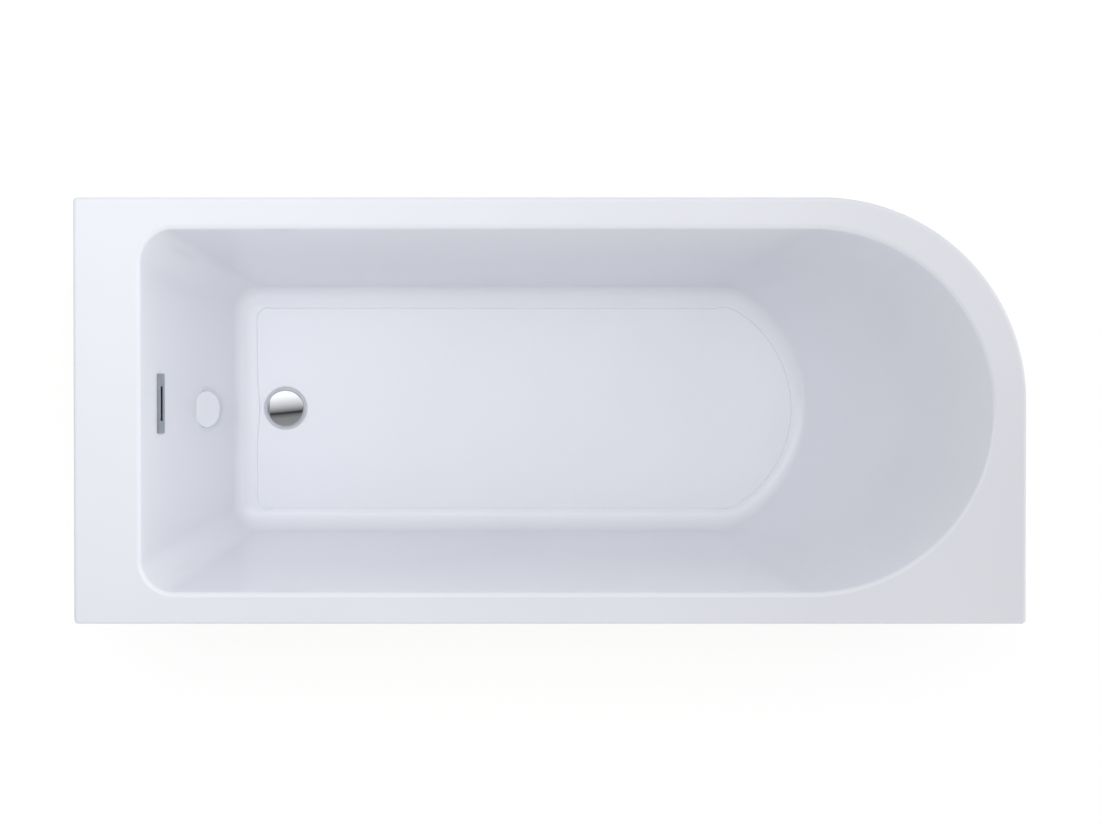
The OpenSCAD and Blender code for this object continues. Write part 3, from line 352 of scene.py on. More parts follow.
# %% [markdown]
# ## Making pieces
# Small functions that many pieces use. They turn a profile round an axis as a lathe does, mark the edges that
# stay crisp, bake modifiers into a plain mesh, and hang the finished mesh on its body with its finish slot,
# hiding the parts of the imported model that it stands for.

# %% Circles, the lathe and plain meshes
def circle_at(radius, y, steps=24):
    return [(radius * math.cos(2 * math.pi * k / steps), y + radius * math.sin(2 * math.pi * k / steps))
            for k in range(steps)]


def turned(profile, steps=96, closed=True):
    """Points and faces of a profile of (radius, height) turned round Z. A radius of 0 is a pole."""
    points, rings = [], []
    for radius, height in profile:
        count = 1 if radius == 0 else steps
        rings.append([len(points) + k for k in range(count)])
        points += [Vector((x, y, height)) for x, y in circle_at(radius, 0, steps)[:count]]
    faces = []
    pairs = list(zip(rings, rings[1:] + rings[:1])) if closed else list(zip(rings, rings[1:]))
    for low, high in pairs:
        if len(low) == 1 and len(high) == 1:
            continue
        for k in range(steps):
            n = (k + 1) % steps
            corners = [low[k % len(low)], low[n % len(low)], high[n % len(high)], high[k % len(high)]]
            faces.append(list(dict.fromkeys(corners)))
    return points, faces


def crisp(mesh, limit_deg=32):
    """Smooth shading with sharp edges where two faces meet at more than the limit."""
    shape = bmesh.new()
    shape.from_mesh(mesh)
    for face in shape.faces:
        face.smooth = True
    for edge in shape.edges:
        flat = len(edge.link_faces) == 2 and edge.calc_face_angle(0) < math.radians(limit_deg)
        edge.smooth = flat
    shape.to_mesh(mesh)
    shape.free()


def mesh_from(name, points, faces, outward=True):
    """A mesh in metres from points in millimetres."""
    shape = bmesh.new()
    corners = [shape.verts.new(Vector(p) * MM) for p in points]
    for face in faces:
        shape.faces.new([corners[i] for i in face])
    bmesh.ops.remove_doubles(shape, verts=shape.verts, dist=1e-7)
    if outward:
        bmesh.ops.recalc_face_normals(shape, faces=shape.faces)
    mesh = bpy.data.meshes.new(name)
    shape.to_mesh(mesh)
    shape.free()
    return mesh


def tube_faces(rings, count):
    """Quads between rings of so many points each."""
    return [[j * count + k, j * count + n, (j + 1) * count + n, (j + 1) * count + k]
            for j in range(rings - 1) for k, n in zip(range(count), [*range(1, count), 0])]


def add_to(mesh, others):
    """Put other meshes into a mesh, and drop them."""
    shape = bmesh.new()
    shape.from_mesh(mesh)
    for other in others:
        shape.from_mesh(other)
        bpy.data.meshes.remove(other)
    shape.to_mesh(mesh)
    shape.free()


# %% Hand-over and baked modifiers
def hand_over(name, mesh, finish, body="bath", stands_for=()):
    """Link a finished mesh as a piece of the bath."""
    mesh.materials.clear()
    mesh.materials.append(finish)
    piece = bpy.data.objects.new(name, mesh)
    scene.collection.objects.link(piece)
    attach(piece, body)
    if stands_for:
        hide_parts(*stands_for)
    print(f"{name}: {len(mesh.polygons)} faces")
    return piece


def linked(name, data):
    """A helper object in the scene, which is removed again after use."""
    helper = bpy.data.objects.new(name, data)
    scene.collection.objects.link(helper)
    return helper


def baked(carrier):
    """The plain mesh that an object's modifiers make. The object is removed."""
    name = carrier.name
    bpy.context.view_layer.update()
    seen = carrier.evaluated_get(bpy.context.evaluated_depsgraph_get())
    mesh = bpy.data.meshes.new_from_object(seen)
    bpy.data.objects.remove(carrier)
    mesh.name = name
    return mesh


def with_modifiers(name, mesh, modifiers):
    """The mesh with a list of (kind, settings) modifiers baked in."""
    carrier = linked(name, mesh)
    for kind, settings in modifiers:
        modifier = carrier.modifiers.new(kind.lower(), kind)
        for key, value in settings.items():
            setattr(modifier, key, value)
    return baked(carrier)


def bevelled(name, mesh, width_mm, segments, angle_deg):
    """The mesh with a small radius on every edge that is sharper than the angle."""
    return with_modifiers(name, mesh, [("BEVEL", {"width": width_mm * MM, "segments": segments,
                                                  "limit_method": "ANGLE",
                                                  "angle_limit": math.radians(angle_deg)})])


# %% [markdown]
# ## Plan of the basin
# The rim is a rectangle with one large rounded corner. The basin is square at the tap end and a half circle
# at the head end, both at the rim and at the floor, so its walls are drawn between two plans of one kind.
# A spoke is a direction that leaves both plans square, and a row of spokes round the bath gives matching
# points on every level. A plan is (left x, right x, half width, corner radius, end radius, join radius).

# %% Sizes of the bath
LENGTH, WIDTH = 1675, 750
CORNER_R, SMALL_CORNER_R = 360, 8
DEPTH, LEDGE_DEPTH = 400, 397.5
RIM_SIDE, RIM_TAP, RIM_HEAD = 55, 117, 57
SIDE_SLOPE, TAP_SLOPE, BACK_SLOPE = 77, 73, 53.5
ACRYLIC_T, LIP_H, LIP_EDGE_R, INNER_EDGE_R = 5, 38, 6.5, 9.5
COVE_R, HEAD_COVE_R = 38, 30
STEP_W, STEP_H, STEP_LEDGE, STEP_BOW, BOW_REACH, STEP_CORNER = 6, 2.5, 2, 5, 40, 60
FALL_SIDE, FALL_HEAD = 0.22, 0.10
HALF_L, HALF_W = LENGTH / 2, WIDTH / 2
FLOOR_Z = RIM_Z - DEPTH


def run_of(depth, slope):
    return depth / math.tan(math.radians(slope))


OPENING = (RIM_TAP - HALF_L, HALF_L - RIM_HEAD, HALF_W - RIM_SIDE, 58, HALF_W - RIM_SIDE, HALF_W - RIM_SIDE)
FLOOR_PLAN = (OPENING[0] + run_of(LEDGE_DEPTH, TAP_SLOPE), OPENING[1] - run_of(LEDGE_DEPTH, BACK_SLOPE),
              OPENING[2] - run_of(LEDGE_DEPTH, SIDE_SLOPE), 46, 253, 95)
STEP_PLAN = FLOOR_PLAN[:3] + (STEP_CORNER,) + FLOOR_PLAN[4:]
print("opening", [round(v, 1) for v in OPENING])
print("floor plane", [round(v, 1) for v in FLOOR_PLAN])


# %% Spokes and the points they meet
def make_spokes(quarter, corner, tap):
    """(direction in degrees, share of the straight tap end) all the way round."""
    step = 90 / quarter
    return ([(-90 + i * step, 0) for i in range(2 * quarter + 1)]
            + [(90 + i * 90 / corner, 0) for i in range(corner + 1)]
            + [(180, i / tap) for i in range(1, tap)]
            + [(180 + i * 90 / corner, 1) for i in range(corner + 1)])


def along(degrees):
    return Vector((math.cos(math.radians(degrees)), math.sin(math.radians(degrees))))


def basin_point(plan, spoke):
    """Where a spoke leaves a basin plan."""
    left, right, half, corner, end, join = plan
    angle, share = spoke
    if angle > 90:
        centre = half - corner
        middle = centre if angle < 180 else -centre if angle > 180 else centre - 2 * centre * share
        return Vector((left + corner, middle)) + corner * along(angle)
    centre_x = right - end
    join_x = centre_x + math.sqrt(max(0, (end - join) ** 2 - (half - join) ** 2))
    meet = math.degrees(math.atan2(half - join, join_x - centre_x))
    if abs(angle) < meet:
        return Vector((centre_x, 0)) + end * along(angle)
    side = -1 if angle < 0 else 1
    reach = along(abs(angle))
    return Vector((join_x + join * reach.x, side * (half - join + join * reach.y)))


def rim_point(spoke, inset):
    """Where a spoke meets the outer edge of the rim, drawn in by an inset."""
    x, y, small = HALF_L - inset, HALF_W - inset, max(SMALL_CORNER_R - inset, 1)
    angle, share = spoke
    if angle < 0:
        middle, radius = Vector((x - small, small - y)), small
        angle = (angle + 90) * 90 / (90 - SPOKE_STEP) - 90
    elif angle <= 90:
        radius = CORNER_R - inset
        middle = Vector((x - radius, y - radius))
    elif angle < 180:
        middle, radius = Vector((small - x, y - small)), small
    elif angle > 180:
        middle, radius = Vector((small - x, small - y)), small
    else:
        return Vector((-x, (y - small) * (1 - 2 * share)))
    return middle + radius * along(angle)


QUARTER_SPOKES = 64
SPOKES = make_spokes(QUARTER_SPOKES, 18, 36)
SPOKE_STEP = 90 / QUARTER_SPOKES
print(len(SPOKES), "spokes")

# %% [markdown]
# ## Section of the sheet
# A station is a height in the section: on the lip, the rounded edges, the wall, the cove or the step round
# the floor. Its offset is measured square to the seen face, so the same stations with an offset of 5 mm give
# the back of the sheet at its true thickness.

# %% Stations of the section
def slope_at(spoke):
    run = (basin_point(OPENING, spoke) - basin_point(FLOOR_PLAN, spoke)).dot(along(spoke[0]))
    return math.atan2(LEDGE_DEPTH, run)


def cove_at(spoke):
    share = abs(spoke[0]) / 90
    return COVE_R if spoke[0] > 90 else HEAD_COVE_R + (COVE_R - HEAD_COVE_R) * share


def level(plan_point, spoke, inward, depth):
    spot = plan_point - inward * along(spoke[0])
    return Vector((spot.x, spot.y, RIM_Z - depth))


def rim_station(spoke, inset, depth):
    spot = rim_point(spoke, inset)
    return Vector((spot.x, spot.y, RIM_Z - depth))


def lip_station(spoke, share, offset):
    turn = math.radians(90 * share)
    return rim_station(spoke, LIP_EDGE_R * (1 - math.sin(turn)) + offset * math.sin(turn),
                       LIP_EDGE_R * (1 - math.cos(turn)) + offset * math.cos(turn))


def edge_station(spoke, share, offset):
    slope = slope_at(spoke)
    turn, r = slope * share, INNER_EDGE_R
    return level(basin_point(OPENING, spoke), spoke,
                 (r - offset) * math.sin(turn) - r * math.tan(slope / 2), r - (r - offset) * math.cos(turn))


def cove_station(spoke, share, offset):
    slope, r = slope_at(spoke), cove_at(spoke)
    turn = slope * share
    return level(basin_point(FLOOR_PLAN, spoke), spoke,
                 r * math.tan(slope / 2) - (r + offset) * math.sin(turn),
                 LEDGE_DEPTH - r + (r + offset) * math.cos(turn))


def floor_station(spoke, share, offset):
    base = basin_point(STEP_PLAN if share > 0 else FLOOR_PLAN, spoke)
    bow = STEP_BOW * math.exp(-(base.y / BOW_REACH) ** 2) if spoke[0] == 180 else 0
    run = 1 if offset > 0 else (STEP_LEDGE + bow if share > 0 else 0) + share * STEP_W
    half_step = FALL_SIDE - (FALL_SIDE - FALL_HEAD) * max(0, math.cos(math.radians(spoke[0]))) ** 2
    fall = min(1, max(0, (share - 0.5 + half_step) / (2 * half_step)))
    return level(base, spoke, cove_at(spoke) * math.tan(slope_at(spoke) / 2) + run,
                 LEDGE_DEPTH + offset + STEP_H * (1 - math.cos(math.pi * fall)) / 2)


def station_point(station, spoke):
    kind, share, offset = station
    if kind == "lip end":
        return rim_station(spoke, offset, share)
    if kind == "lip":
        return lip_station(spoke, share, offset)
    if kind == "top":
        return lip_station(spoke, 0, offset).lerp(edge_station(spoke, 0, offset), share)
    if kind == "edge":
        return edge_station(spoke, share, offset)
    if kind == "wall":
        return edge_station(spoke, 1, offset).lerp(cove_station(spoke, 1, offset), share)
    if kind == "cove":
        return cove_station(spoke, share, offset)
    return floor_station(spoke, share, offset)


def shares(count, start=0.0, end=1.0):
    """Evenly spread shares, both ends included."""
    return [start + (end - start) * i / (count - 1) for i in range(count)]


def section(kind, share_list, offset):
    return [(kind, share, offset) for share in share_list]


FRONT = (section("lip end", [LIP_H, LIP_H - 1, 12], 0) + section("lip", shares(9, 1, 0), 0)
         + section("top", [0.012, 0.05, 0.15, 0.32, 0.5, 0.68, 0.85, 0.95, 0.988], 0)
         + section("edge", shares(11), 0) + section("wall", shares(24)[1:-1], 0)
         + section("cove", shares(13, 1, 0), 0)
         + section("floor", [0.001, 0.15, 0.28] + shares(9, 0.32, 0.68) + [0.72, 0.85, 1], 0))
BACK = (section("floor", [1], ACRYLIC_T) + section("cove", shares(7), ACRYLIC_T)
        + section("wall", shares(13, 1, 0)[1:-1], ACRYLIC_T) + section("edge", shares(4, 1, 0), ACRYLIC_T)
        + section("top", [0.9, 0.1], ACRYLIC_T) + section("lip", shares(4), ACRYLIC_T))
print(len(FRONT), "stations in front,", len(BACK), "behind")

# %% [markdown]
# ## The shell
# Rows of points are skinned from the lip's edge over the rim and down to the floor, then back outside. The
# floor is filled between its last row and the turned seat of the waste. A Boolean cuts the overflow's slot
# and its two stud holes through the end wall.

# %% Waste and overflow places
WASTE_X = 326.5 - HALF_L
SEAT_Z = FLOOR_Z - 4
UNDER_Z = SEAT_Z - ACRYLIC_T
SEAT_SECTION = [(44.5, FLOOR_Z), (43.2, FLOOR_Z), (42.4, FLOOR_Z - 0.12), (41.8, FLOOR_Z - 0.45),
                (41.3, FLOOR_Z - 0.9), (39.2, FLOOR_Z - 3.0), (38.6, FLOOR_Z - 3.55),
                (37.9, FLOOR_Z - 3.9), (37.1, SEAT_Z), (26.8, SEAT_Z), (26.2, SEAT_Z - 0.3),
                (26, SEAT_Z - 0.9), (26, UNDER_Z), (45, UNDER_Z), (45, FLOOR_Z - ACRYLIC_T)]
OVERFLOW_DROP, OVERFLOW_Y = 75, 12
BOSS_DROP, BOSS_R, BOSS_SLOPE, BOSS_TUCK, BOSS_ROUND = 215, 34, 55, 3, 3


def on_tap_wall(drop, y, slope):
    """Frame at a spot on the tap end wall: X runs down a slope there and Z leaves it, in metres."""
    spot = Vector((OPENING[0] + run_of(drop, TAP_SLOPE), y, RIM_Z - drop)) * MM
    return Matrix.Translation(spot) @ Matrix.Rotation(math.radians(slope), 4, "Y")


OVERFLOW_FRAME = on_tap_wall(OVERFLOW_DROP, OVERFLOW_Y, TAP_SLOPE)
BOSS_FRAME = on_tap_wall(BOSS_DROP, 0, BOSS_SLOPE)


# %% Skin the sheet
def skin(front, back, hole_section, hole_x):
    """A closed sheet from two rows of stations and the turned hole that joins their floors."""
    shape = bmesh.new()
    rows = [[shape.verts.new(station_point(station, spoke) * MM) for spoke in SPOKES]
            for station in front + back]
    for j in range(len(rows)):
        if j == len(front) - 1:
            continue
        a, b = rows[j], rows[(j + 1) % len(rows)]
        for i in range(len(SPOKES)):
            k = (i + 1) % len(SPOKES)
            shape.faces.new((a[i], b[i], b[k], a[k]))
    steps = 96
    circles = [[shape.verts.new(Vector((hole_x + x, y, z)) * MM) for x, y in circle_at(r, 0, steps)]
               for r, z in hole_section]
    for low, high in zip(circles, circles[1:]):
        for k in range(steps):
            n = (k + 1) % steps
            shape.faces.new((low[k], low[n], high[n], high[k]))
    for row, circle in ((rows[len(front) - 1], circles[0]), (rows[len(front)], circles[-1])):
        border = []
        for ring in (row, circle):
            for k in range(len(ring)):
                pair = (ring[k], ring[(k + 1) % len(ring)])
                border.append(shape.edges.get(pair) or shape.edges.new(pair))
        bmesh.ops.triangle_fill(shape, use_beauty=True, edges=border)
    bmesh.ops.recalc_face_normals(shape, faces=shape.faces)
    return shape


shell_shape = skin(FRONT, BACK, SEAT_SECTION, WASTE_X)
shell_mesh = bpy.data.meshes.new("bath_shell_piece")
shell_shape.to_mesh(shell_mesh)
shell_shape.free()
print("sheet:", len(shell_mesh.polygons), "faces")


# %% Cut the overflow's slot and stud holes
def prism(name, outline, low, high, place=Matrix.Identity(4)):
    """A prism of a plane outline, in millimetres, put in its place."""
    count = len(outline)
    points = [(x, y, low) for x, y in outline] + [(x, y, high) for x, y in outline]
    faces = [list(range(count)), list(range(count, 2 * count))] + tube_faces(2, count)
    mesh = mesh_from(name, points, faces)
    mesh.transform(place)
    return mesh


def obround(width, length, steps=16):
    """A slot's outline: two half circles joined by straight sides."""
    half, shift = width / 2, (length - width) / 2
    arc = [(half * math.cos(math.pi * k / steps), half * math.sin(math.pi * k / steps) + shift)
           for k in range(steps + 1)]
    return arc + [(-x, -y) for x, y in arc]


def rounded_box(width, length, radius, steps=6):
    """A rectangle with rounded corners."""
    outline = []
    for quarter, (sx, sy) in enumerate(((1, 1), (-1, 1), (-1, -1), (1, -1))):
        for k in range(steps + 1):
            angle = math.radians(90 * quarter + 90 * k / steps)
            outline.append((sx * (width / 2 - radius) + radius * math.cos(angle),
                            sy * (length / 2 - radius) + radius * math.sin(angle)))
    return outline


def cut(mesh, cutters, operation="DIFFERENCE"):
    """Take the cutters out of a mesh with the Boolean modifier, or keep what is inside them."""
    holders = [linked(cutter.name, cutter) for cutter in cutters]
    result = with_modifiers(mesh.name, mesh, [("BOOLEAN", {"operation": operation, "object": holder,
                                                           "solver": "EXACT"}) for holder in holders])
    for holder in holders:
        bpy.data.objects.remove(holder)
    return result


STUD_Y, STUD_R = 42, 2.5
slot_cutters = [prism("slot_cutter", obround(11.6, 66), -10, 4, OVERFLOW_FRAME)]
slot_cutters += [prism("stud_cutter", circle_at(STUD_R + 0.5, side * STUD_Y), -10, 4, OVERFLOW_FRAME)
                 for side in (-1, 1)]
shell_mesh = cut(shell_mesh, slot_cutters)
print("shell with its slot:", len(shell_mesh.polygons), "faces")


# %% [markdown]
# ### The moulded boss
# A round swelling stands out of the end wall between overflow and waste. Its flat face slopes less than the
# wall, so it starts in the wall at its upper end and stands 24 mm proud at its lower end. That is why the
# photograph shows a crisp curve on one side only. It is turned about the axis of its face, with a 3 mm
# rounding at its lower end.

# %% Boss
def boss_section():
    bend = [math.radians(90 * k / 8) for k in range(9)]
    rounding = [(BOSS_R - BOSS_ROUND + BOSS_ROUND * math.sin(a), BOSS_ROUND * (math.cos(a) - 1))
                for a in bend]
    back = [(r, -2 * BOSS_R) for r in (BOSS_R, 25, 15, 0)]
    return [(0, 0), (12, 0), (24, 0)] + rounding + back


def shaped_boss():
    """The turned boss. Its rounding runs out where the face meets the wall. Its back ends in the sheet."""
    points, faces = turned(boss_section(), closed=False)
    fall = math.tan(math.radians(TAP_SLOPE - BOSS_SLOPE))
    shaped = []
    for x, y, z in points:
        r = math.hypot(x, y)
        if r > BOSS_R - BOSS_ROUND - 0.01 and z > -BOSS_ROUND - 0.01:
            keep = 0.05 + 0.95 * min(1, max(0, x / r + 0.9) / 1.3)
            grow = (BOSS_R - (BOSS_R - r) * keep) / r
            x, y, z = x * grow, y * grow, z * keep
        elif z < -BOSS_ROUND:
            z = -(x + BOSS_R - BOSS_TUCK) * fall - ACRYLIC_T / 2
        shaped.append((x, y, z))
    return mesh_from("boss", shaped, faces)


boss_mesh = shaped_boss()
boss_mesh.transform(BOSS_FRAME @ Matrix.Translation(((BOSS_R - BOSS_TUCK) * MM, 0, 0)))
add_to(shell_mesh, [boss_mesh])
crisp(shell_mesh, 34)
hand_over("bath_shell_formed", shell_mesh, acrylic, stands_for=["bath_shell"])

# %% [markdown]
# ## Glass fibre coat
# The coat is the same sheet again, laid behind the acrylic with the same stations at larger offsets. It is
# open round the waste and behind the overflow, where the fittings clamp on the acrylic.

# %% Coat
FIBRE_IN, FIBRE_OUT, COAT_INSET = ACRYLIC_T + 0.7, ACRYLIC_T + 3.7, ACRYLIC_T + 4
coat_front = ([("lip end", FIBRE_IN, COAT_INSET)] + section("edge", shares(4), FIBRE_IN)
              + section("wall", shares(8)[1:-1], FIBRE_IN) + section("cove", shares(5, 1, 0), FIBRE_IN)
              + section("floor", [1], FIBRE_IN))
coat_back = (section("floor", [1], FIBRE_OUT) + section("cove", shares(7), FIBRE_OUT)
             + section("wall", shares(16, 1, 0)[1:-1], FIBRE_OUT)
             + section("edge", shares(5, 1, 0), FIBRE_OUT) + [("lip end", FIBRE_OUT, COAT_INSET)])
COAT_HOLE = [(46, FLOOR_Z - FIBRE_IN), (46, FLOOR_Z - FIBRE_OUT)]
coat_shape = skin(coat_front, coat_back, COAT_HOLE, WASTE_X)
coat_mesh = bpy.data.meshes.new("glass_fibre_piece")
coat_shape.to_mesh(coat_mesh)
coat_shape.free()
SEAL_W, SEAL_L = 34, 115
coat_mesh = cut(coat_mesh, [prism("seal_cutter", rounded_box(SEAL_W + 3, SEAL_L + 3, 7), -15, 5,
                                  OVERFLOW_FRAME)])
crisp(coat_mesh, 40)
hand_over("glass_fibre_laid", coat_mesh, glass_fibre, stands_for=["fibreglass_coat"])

# %% [markdown]
# ## Bath panel
# The panel is one bent sheet. A section with a turned-in foot is carried along the rim's plan: the room
# side, the large corner and the head end.

# %% Panel
PANEL_OUT, PANEL_T, PANEL_RETURN, PANEL_LIFT = ACRYLIC_T + 1, 3, 26, 2
PANEL_TOP = RIM_Z - LIP_H + 20


def panel_section():
    """(inward, height) points, once round the sheet's edge."""
    outer = [(4 - 4 * math.cos(math.radians(a)), 4 - 4 * math.sin(math.radians(a)))
             for a in range(90, -1, -15)]
    inner = [(4 - math.cos(math.radians(a)), 4 - math.sin(math.radians(a))) for a in range(0, 91, 30)]
    top = PANEL_TOP - PANEL_LIFT
    crest = [(0, top - 1.2), (0.35, top - 0.35), (1.2, top), (1.8, top), (2.65, top - 0.35), (3, top - 1.2)]
    toe = [(PANEL_RETURN - 1, 3), (PANEL_RETURN, 2.2), (PANEL_RETURN, 0.8), (PANEL_RETURN - 1, 0)]
    ladder = [(0, h) for h in (40, 180, 360, 500)]
    back = [(PANEL_T, h) for h in (500, 360, 180, 40)]
    return [(n, PANEL_LIFT + z) for n, z in outer + ladder + crest + back + inner + toe]


def panel_path(steps=48):
    """(outer point, inward direction) along the panel."""
    x, y = HALF_L - PANEL_OUT, HALF_W - PANEL_OUT
    r = CORNER_R - PANEL_OUT
    path = [(Vector((s, y)), Vector((0, -1))) for s in (-x, -x + 1, -600, -200, 150, x - r - 1)]
    for k in range(steps + 1):
        reach = along(90 - 90 * k / steps)
        path.append((Vector((x - r, y - r)) + r * reach, -reach))
    path += [(Vector((x, s)), Vector((-1, 0))) for s in (y - r - 1, -150, 1 - y, -y)]
    return path


panel_points = []
outline = panel_section()
path = panel_path()
for spot, inward in path:
    for n, z in outline:
        p = spot + n * inward
        panel_points.append((p.x, p.y, z))
count = len(outline)
panel_faces = tube_faces(len(path), count)
panel_faces += [list(range(count)), [(len(path) - 1) * count + k for k in range(count)]]
panel_mesh = mesh_from("bath_panel_piece", panel_points, panel_faces)
crisp(panel_mesh, 40)
hand_over("bath_panel_bent", panel_mesh, acrylic, stands_for=["bath_panel"])

# %% [markdown]
# ## Plug
# The plug is a shallow chromed dome with a rolled edge on a stem. Its flat crown mirrors the ceiling as two
# halves with a dark joint, as in the photograph.

# %% Plug and its flange
PLUG_R, PLUG_T, PLUG_CROWN, PLUG_ROLL = 36, 8, 3.4, 2.6
FLANGE_Z, FLANGE_T = SEAT_Z + 2, 2.5
PLUG_LOW = FLANGE_Z + FLANGE_T + 1.6
FLANGE_LOW = UNDER_Z - 14
STEM_LOW, STEM_R = FLANGE_LOW - 4, 4


def plug_section():
    dome_r = (PLUG_R ** 2 + PLUG_CROWN ** 2) / (2 * PLUG_CROWN)
    top = PLUG_LOW + PLUG_T
    lean = math.asin((PLUG_R - PLUG_ROLL) / (dome_r - PLUG_ROLL))
    roll_z = top - dome_r + (dome_r - PLUG_ROLL) * math.cos(lean)
    dome = [(dome_r * math.sin(lean * k / 28), top - dome_r + dome_r * math.cos(lean * k / 28))
            for k in range(1, 28)]
    rolled = [(PLUG_R - PLUG_ROLL + PLUG_ROLL * math.sin(a), roll_z + PLUG_ROLL * math.cos(a))
              for a in [lean + (math.pi / 2 - lean) * k / 10 for k in range(11)]]
    under = [(PLUG_R, PLUG_LOW + 0.7), (PLUG_R - 0.25, PLUG_LOW + 0.2), (PLUG_R - 0.8, PLUG_LOW)]
    stem = [(STEM_R + 3, PLUG_LOW), (STEM_R + 0.6, PLUG_LOW - 0.4), (STEM_R, PLUG_LOW - 1.5),
            (STEM_R, STEM_LOW + 1), (STEM_R - 1, STEM_LOW), (0, STEM_LOW)]
    return [(0, top)] + dome + rolled + under + stem


at_waste = Matrix.Translation(Vector((WASTE_X * MM, 0, 0)))
plug_mesh = mesh_from("plug_piece", *turned(plug_section(), 128, closed=False))
plug_mesh.transform(at_waste)
crisp(plug_mesh, 40)
hand_over("plug_turned", plug_mesh, chromium, "plug", ["plug"])

# %% [markdown]
# ## Overflow cover
# The cover is a flat plate with a slot, on two studs. Plate and slot get a fine bevel, which catches the
# light as the pale line beside the slot.

# %% Cover plate
COVER_L, COVER_W, COVER_T, COVER_SLOT_L, COVER_SLOT_W = 107, 24, 3, 62, 7.6
COVER_LIFT = 0.3


def cover_mesh():
    plate = prism("cover_plate", rounded_box(COVER_W, COVER_L, 2), COVER_LIFT, COVER_LIFT + COVER_T)
    window = prism("cover_window", rounded_box(COVER_SLOT_W, COVER_SLOT_L, 0.6), -2, 8)
    plate = cut(plate, [window])
    plate = bevelled("cover_plate", plate, 0.55, 3, 50)
    stud_low = -ACRYLIC_T - 2 - 4 - 10
    studs = []
    for side in (-1, 1):
        points, faces = turned([(0, 0.8), (STUD_R, 0.8), (STUD_R, stud_low + 0.6), (STUD_R - 0.6, stud_low),
                                (0, stud_low)], 24, closed=False)
        studs.append(mesh_from("cover_stud", [(p.x, p.y + side * STUD_Y, p.z) for p in points], faces))
    add_to(plate, studs)
    plate.transform(OVERFLOW_FRAME)
    crisp(plate, 34)
    return plate


hand_over("overflow_cover_plate", cover_mesh(), brushed_steel, stands_for=["overflow_cover"])

# %% [markdown]
# The slot reads black in the photograph although its lower edge faces the light. A thin black sheet lines the
# slot's walls as painted shade: it stands for the shade inside the slot, and it stays inside the plate's
# thickness.

# %% Black sheet of painted shade in the slot
def slot_lining(wall):
    outer = rounded_box(COVER_SLOT_W, COVER_SLOT_L, 0.6)
    inner = rounded_box(COVER_SLOT_W - 2 * wall, COVER_SLOT_L - 2 * wall, 0.3)
    low, high = COVER_LIFT - 0.25, COVER_LIFT + COVER_T - 0.25
    count = len(outer)
    points = [(x, y, z) for z in (low, high) for ring in (outer, inner) for x, y in ring]
    faces = []
    for k in range(count):
        n = (k + 1) % count
        for a, b in ((0, 1), (1, 3), (3, 2), (2, 0)):
            faces.append([a * count + k, a * count + n, b * count + n, b * count + k])
    mesh = mesh_from("slot_lining", points, faces)
    mesh.transform(OVERFLOW_FRAME)
    crisp(mesh, 34)
    return mesh


# The slot's black sheet is painted shade, a dark lining put where the slot is only in shade.
hand_over("overflow_slot_lining", slot_lining(0.35), black_nylon,
          stands_for=["overflow_cover"])

# %% [markdown]
# ## Overflow hose
# The hose is a blown tube with a rib every 5 mm. It follows a rule, so Geometry Nodes make it: a grid is
# wrapped round a curve, out along the ribs and back along the bore, and its radius is a wave of the length.

# %% Route of the hose
PORT_R, HOSE_R, HOSE_VALLEY, HOSE_BORE, HOSE_CUFF, HOSE_RIBS = 12.5, 16, 14.4, 12.9, 16, 70
SPIGOT_DEPTH, SPIGOT_END, HOSE_GRIP = -34, 44, 12
BODY_LOW = UNDER_Z - 3 - 36
PORT_Z = BODY_LOW + PORT_R + 0.5
down = Vector((math.cos(math.radians(TAP_SLOPE)), 0, -math.sin(math.radians(TAP_SLOPE))))
spigot = OVERFLOW_FRAME @ (Vector((SPIGOT_END - HOSE_GRIP, 0, SPIGOT_DEPTH)) * MM)
port = Vector((WASTE_X - 29 - 26 + HOSE_GRIP, 0, PORT_Z)) * MM
start = spigot + HOSE_CUFF * MM * down
finish_point = port - Vector((HOSE_CUFF * MM, 0, 0))
control = [start, start + 175 * MM * down, finish_point - Vector((85 * MM, 0, 0)), finish_point]


def bezier(points, t):
    a, b, c, d = points
    return (1 - t) ** 3 * a + 3 * (1 - t) ** 2 * t * b + 3 * (1 - t) * t * t * c + t ** 3 * d


route = [spigot] + [bezier(control, k / 60) for k in range(61)] + [port]
hose_length = sum((b - a).length for a, b in zip(route, route[1:]))
print("hose length", round(hose_length / MM, 1), "mm")


# %% Start and end of a tree
def new_tree(name, inputs):
    """A tree with its (name, kind) inputs, and a finish last. Returns it with the sockets it is given."""
    tree = bpy.data.node_groups.new(name, "GeometryNodeTree")
    tree.is_modifier = True
    for label, kind in [("Geometry", "Geometry"), *inputs, ("Finish", "Material")]:
        tree.interface.new_socket(label, in_out="INPUT", socket_type="NodeSocket" + kind)
    tree.interface.new_socket("Geometry", in_out="OUTPUT", socket_type="NodeSocketGeometry")
    return tree, add_node(tree, "NodeGroupInput").outputs


def close_tree(tree, geometry, finish):
    """Make what the tree built real, give it its finish and hand it out."""
    real = add_node(tree, "GeometryNodeRealizeInstances", links={"Geometry": geometry})
    painted = add_node(tree, "GeometryNodeSetMaterial", links={"Geometry": real, "Material": finish})
    add_node(tree, "NodeGroupOutput", links={"Geometry": painted})
    return tree


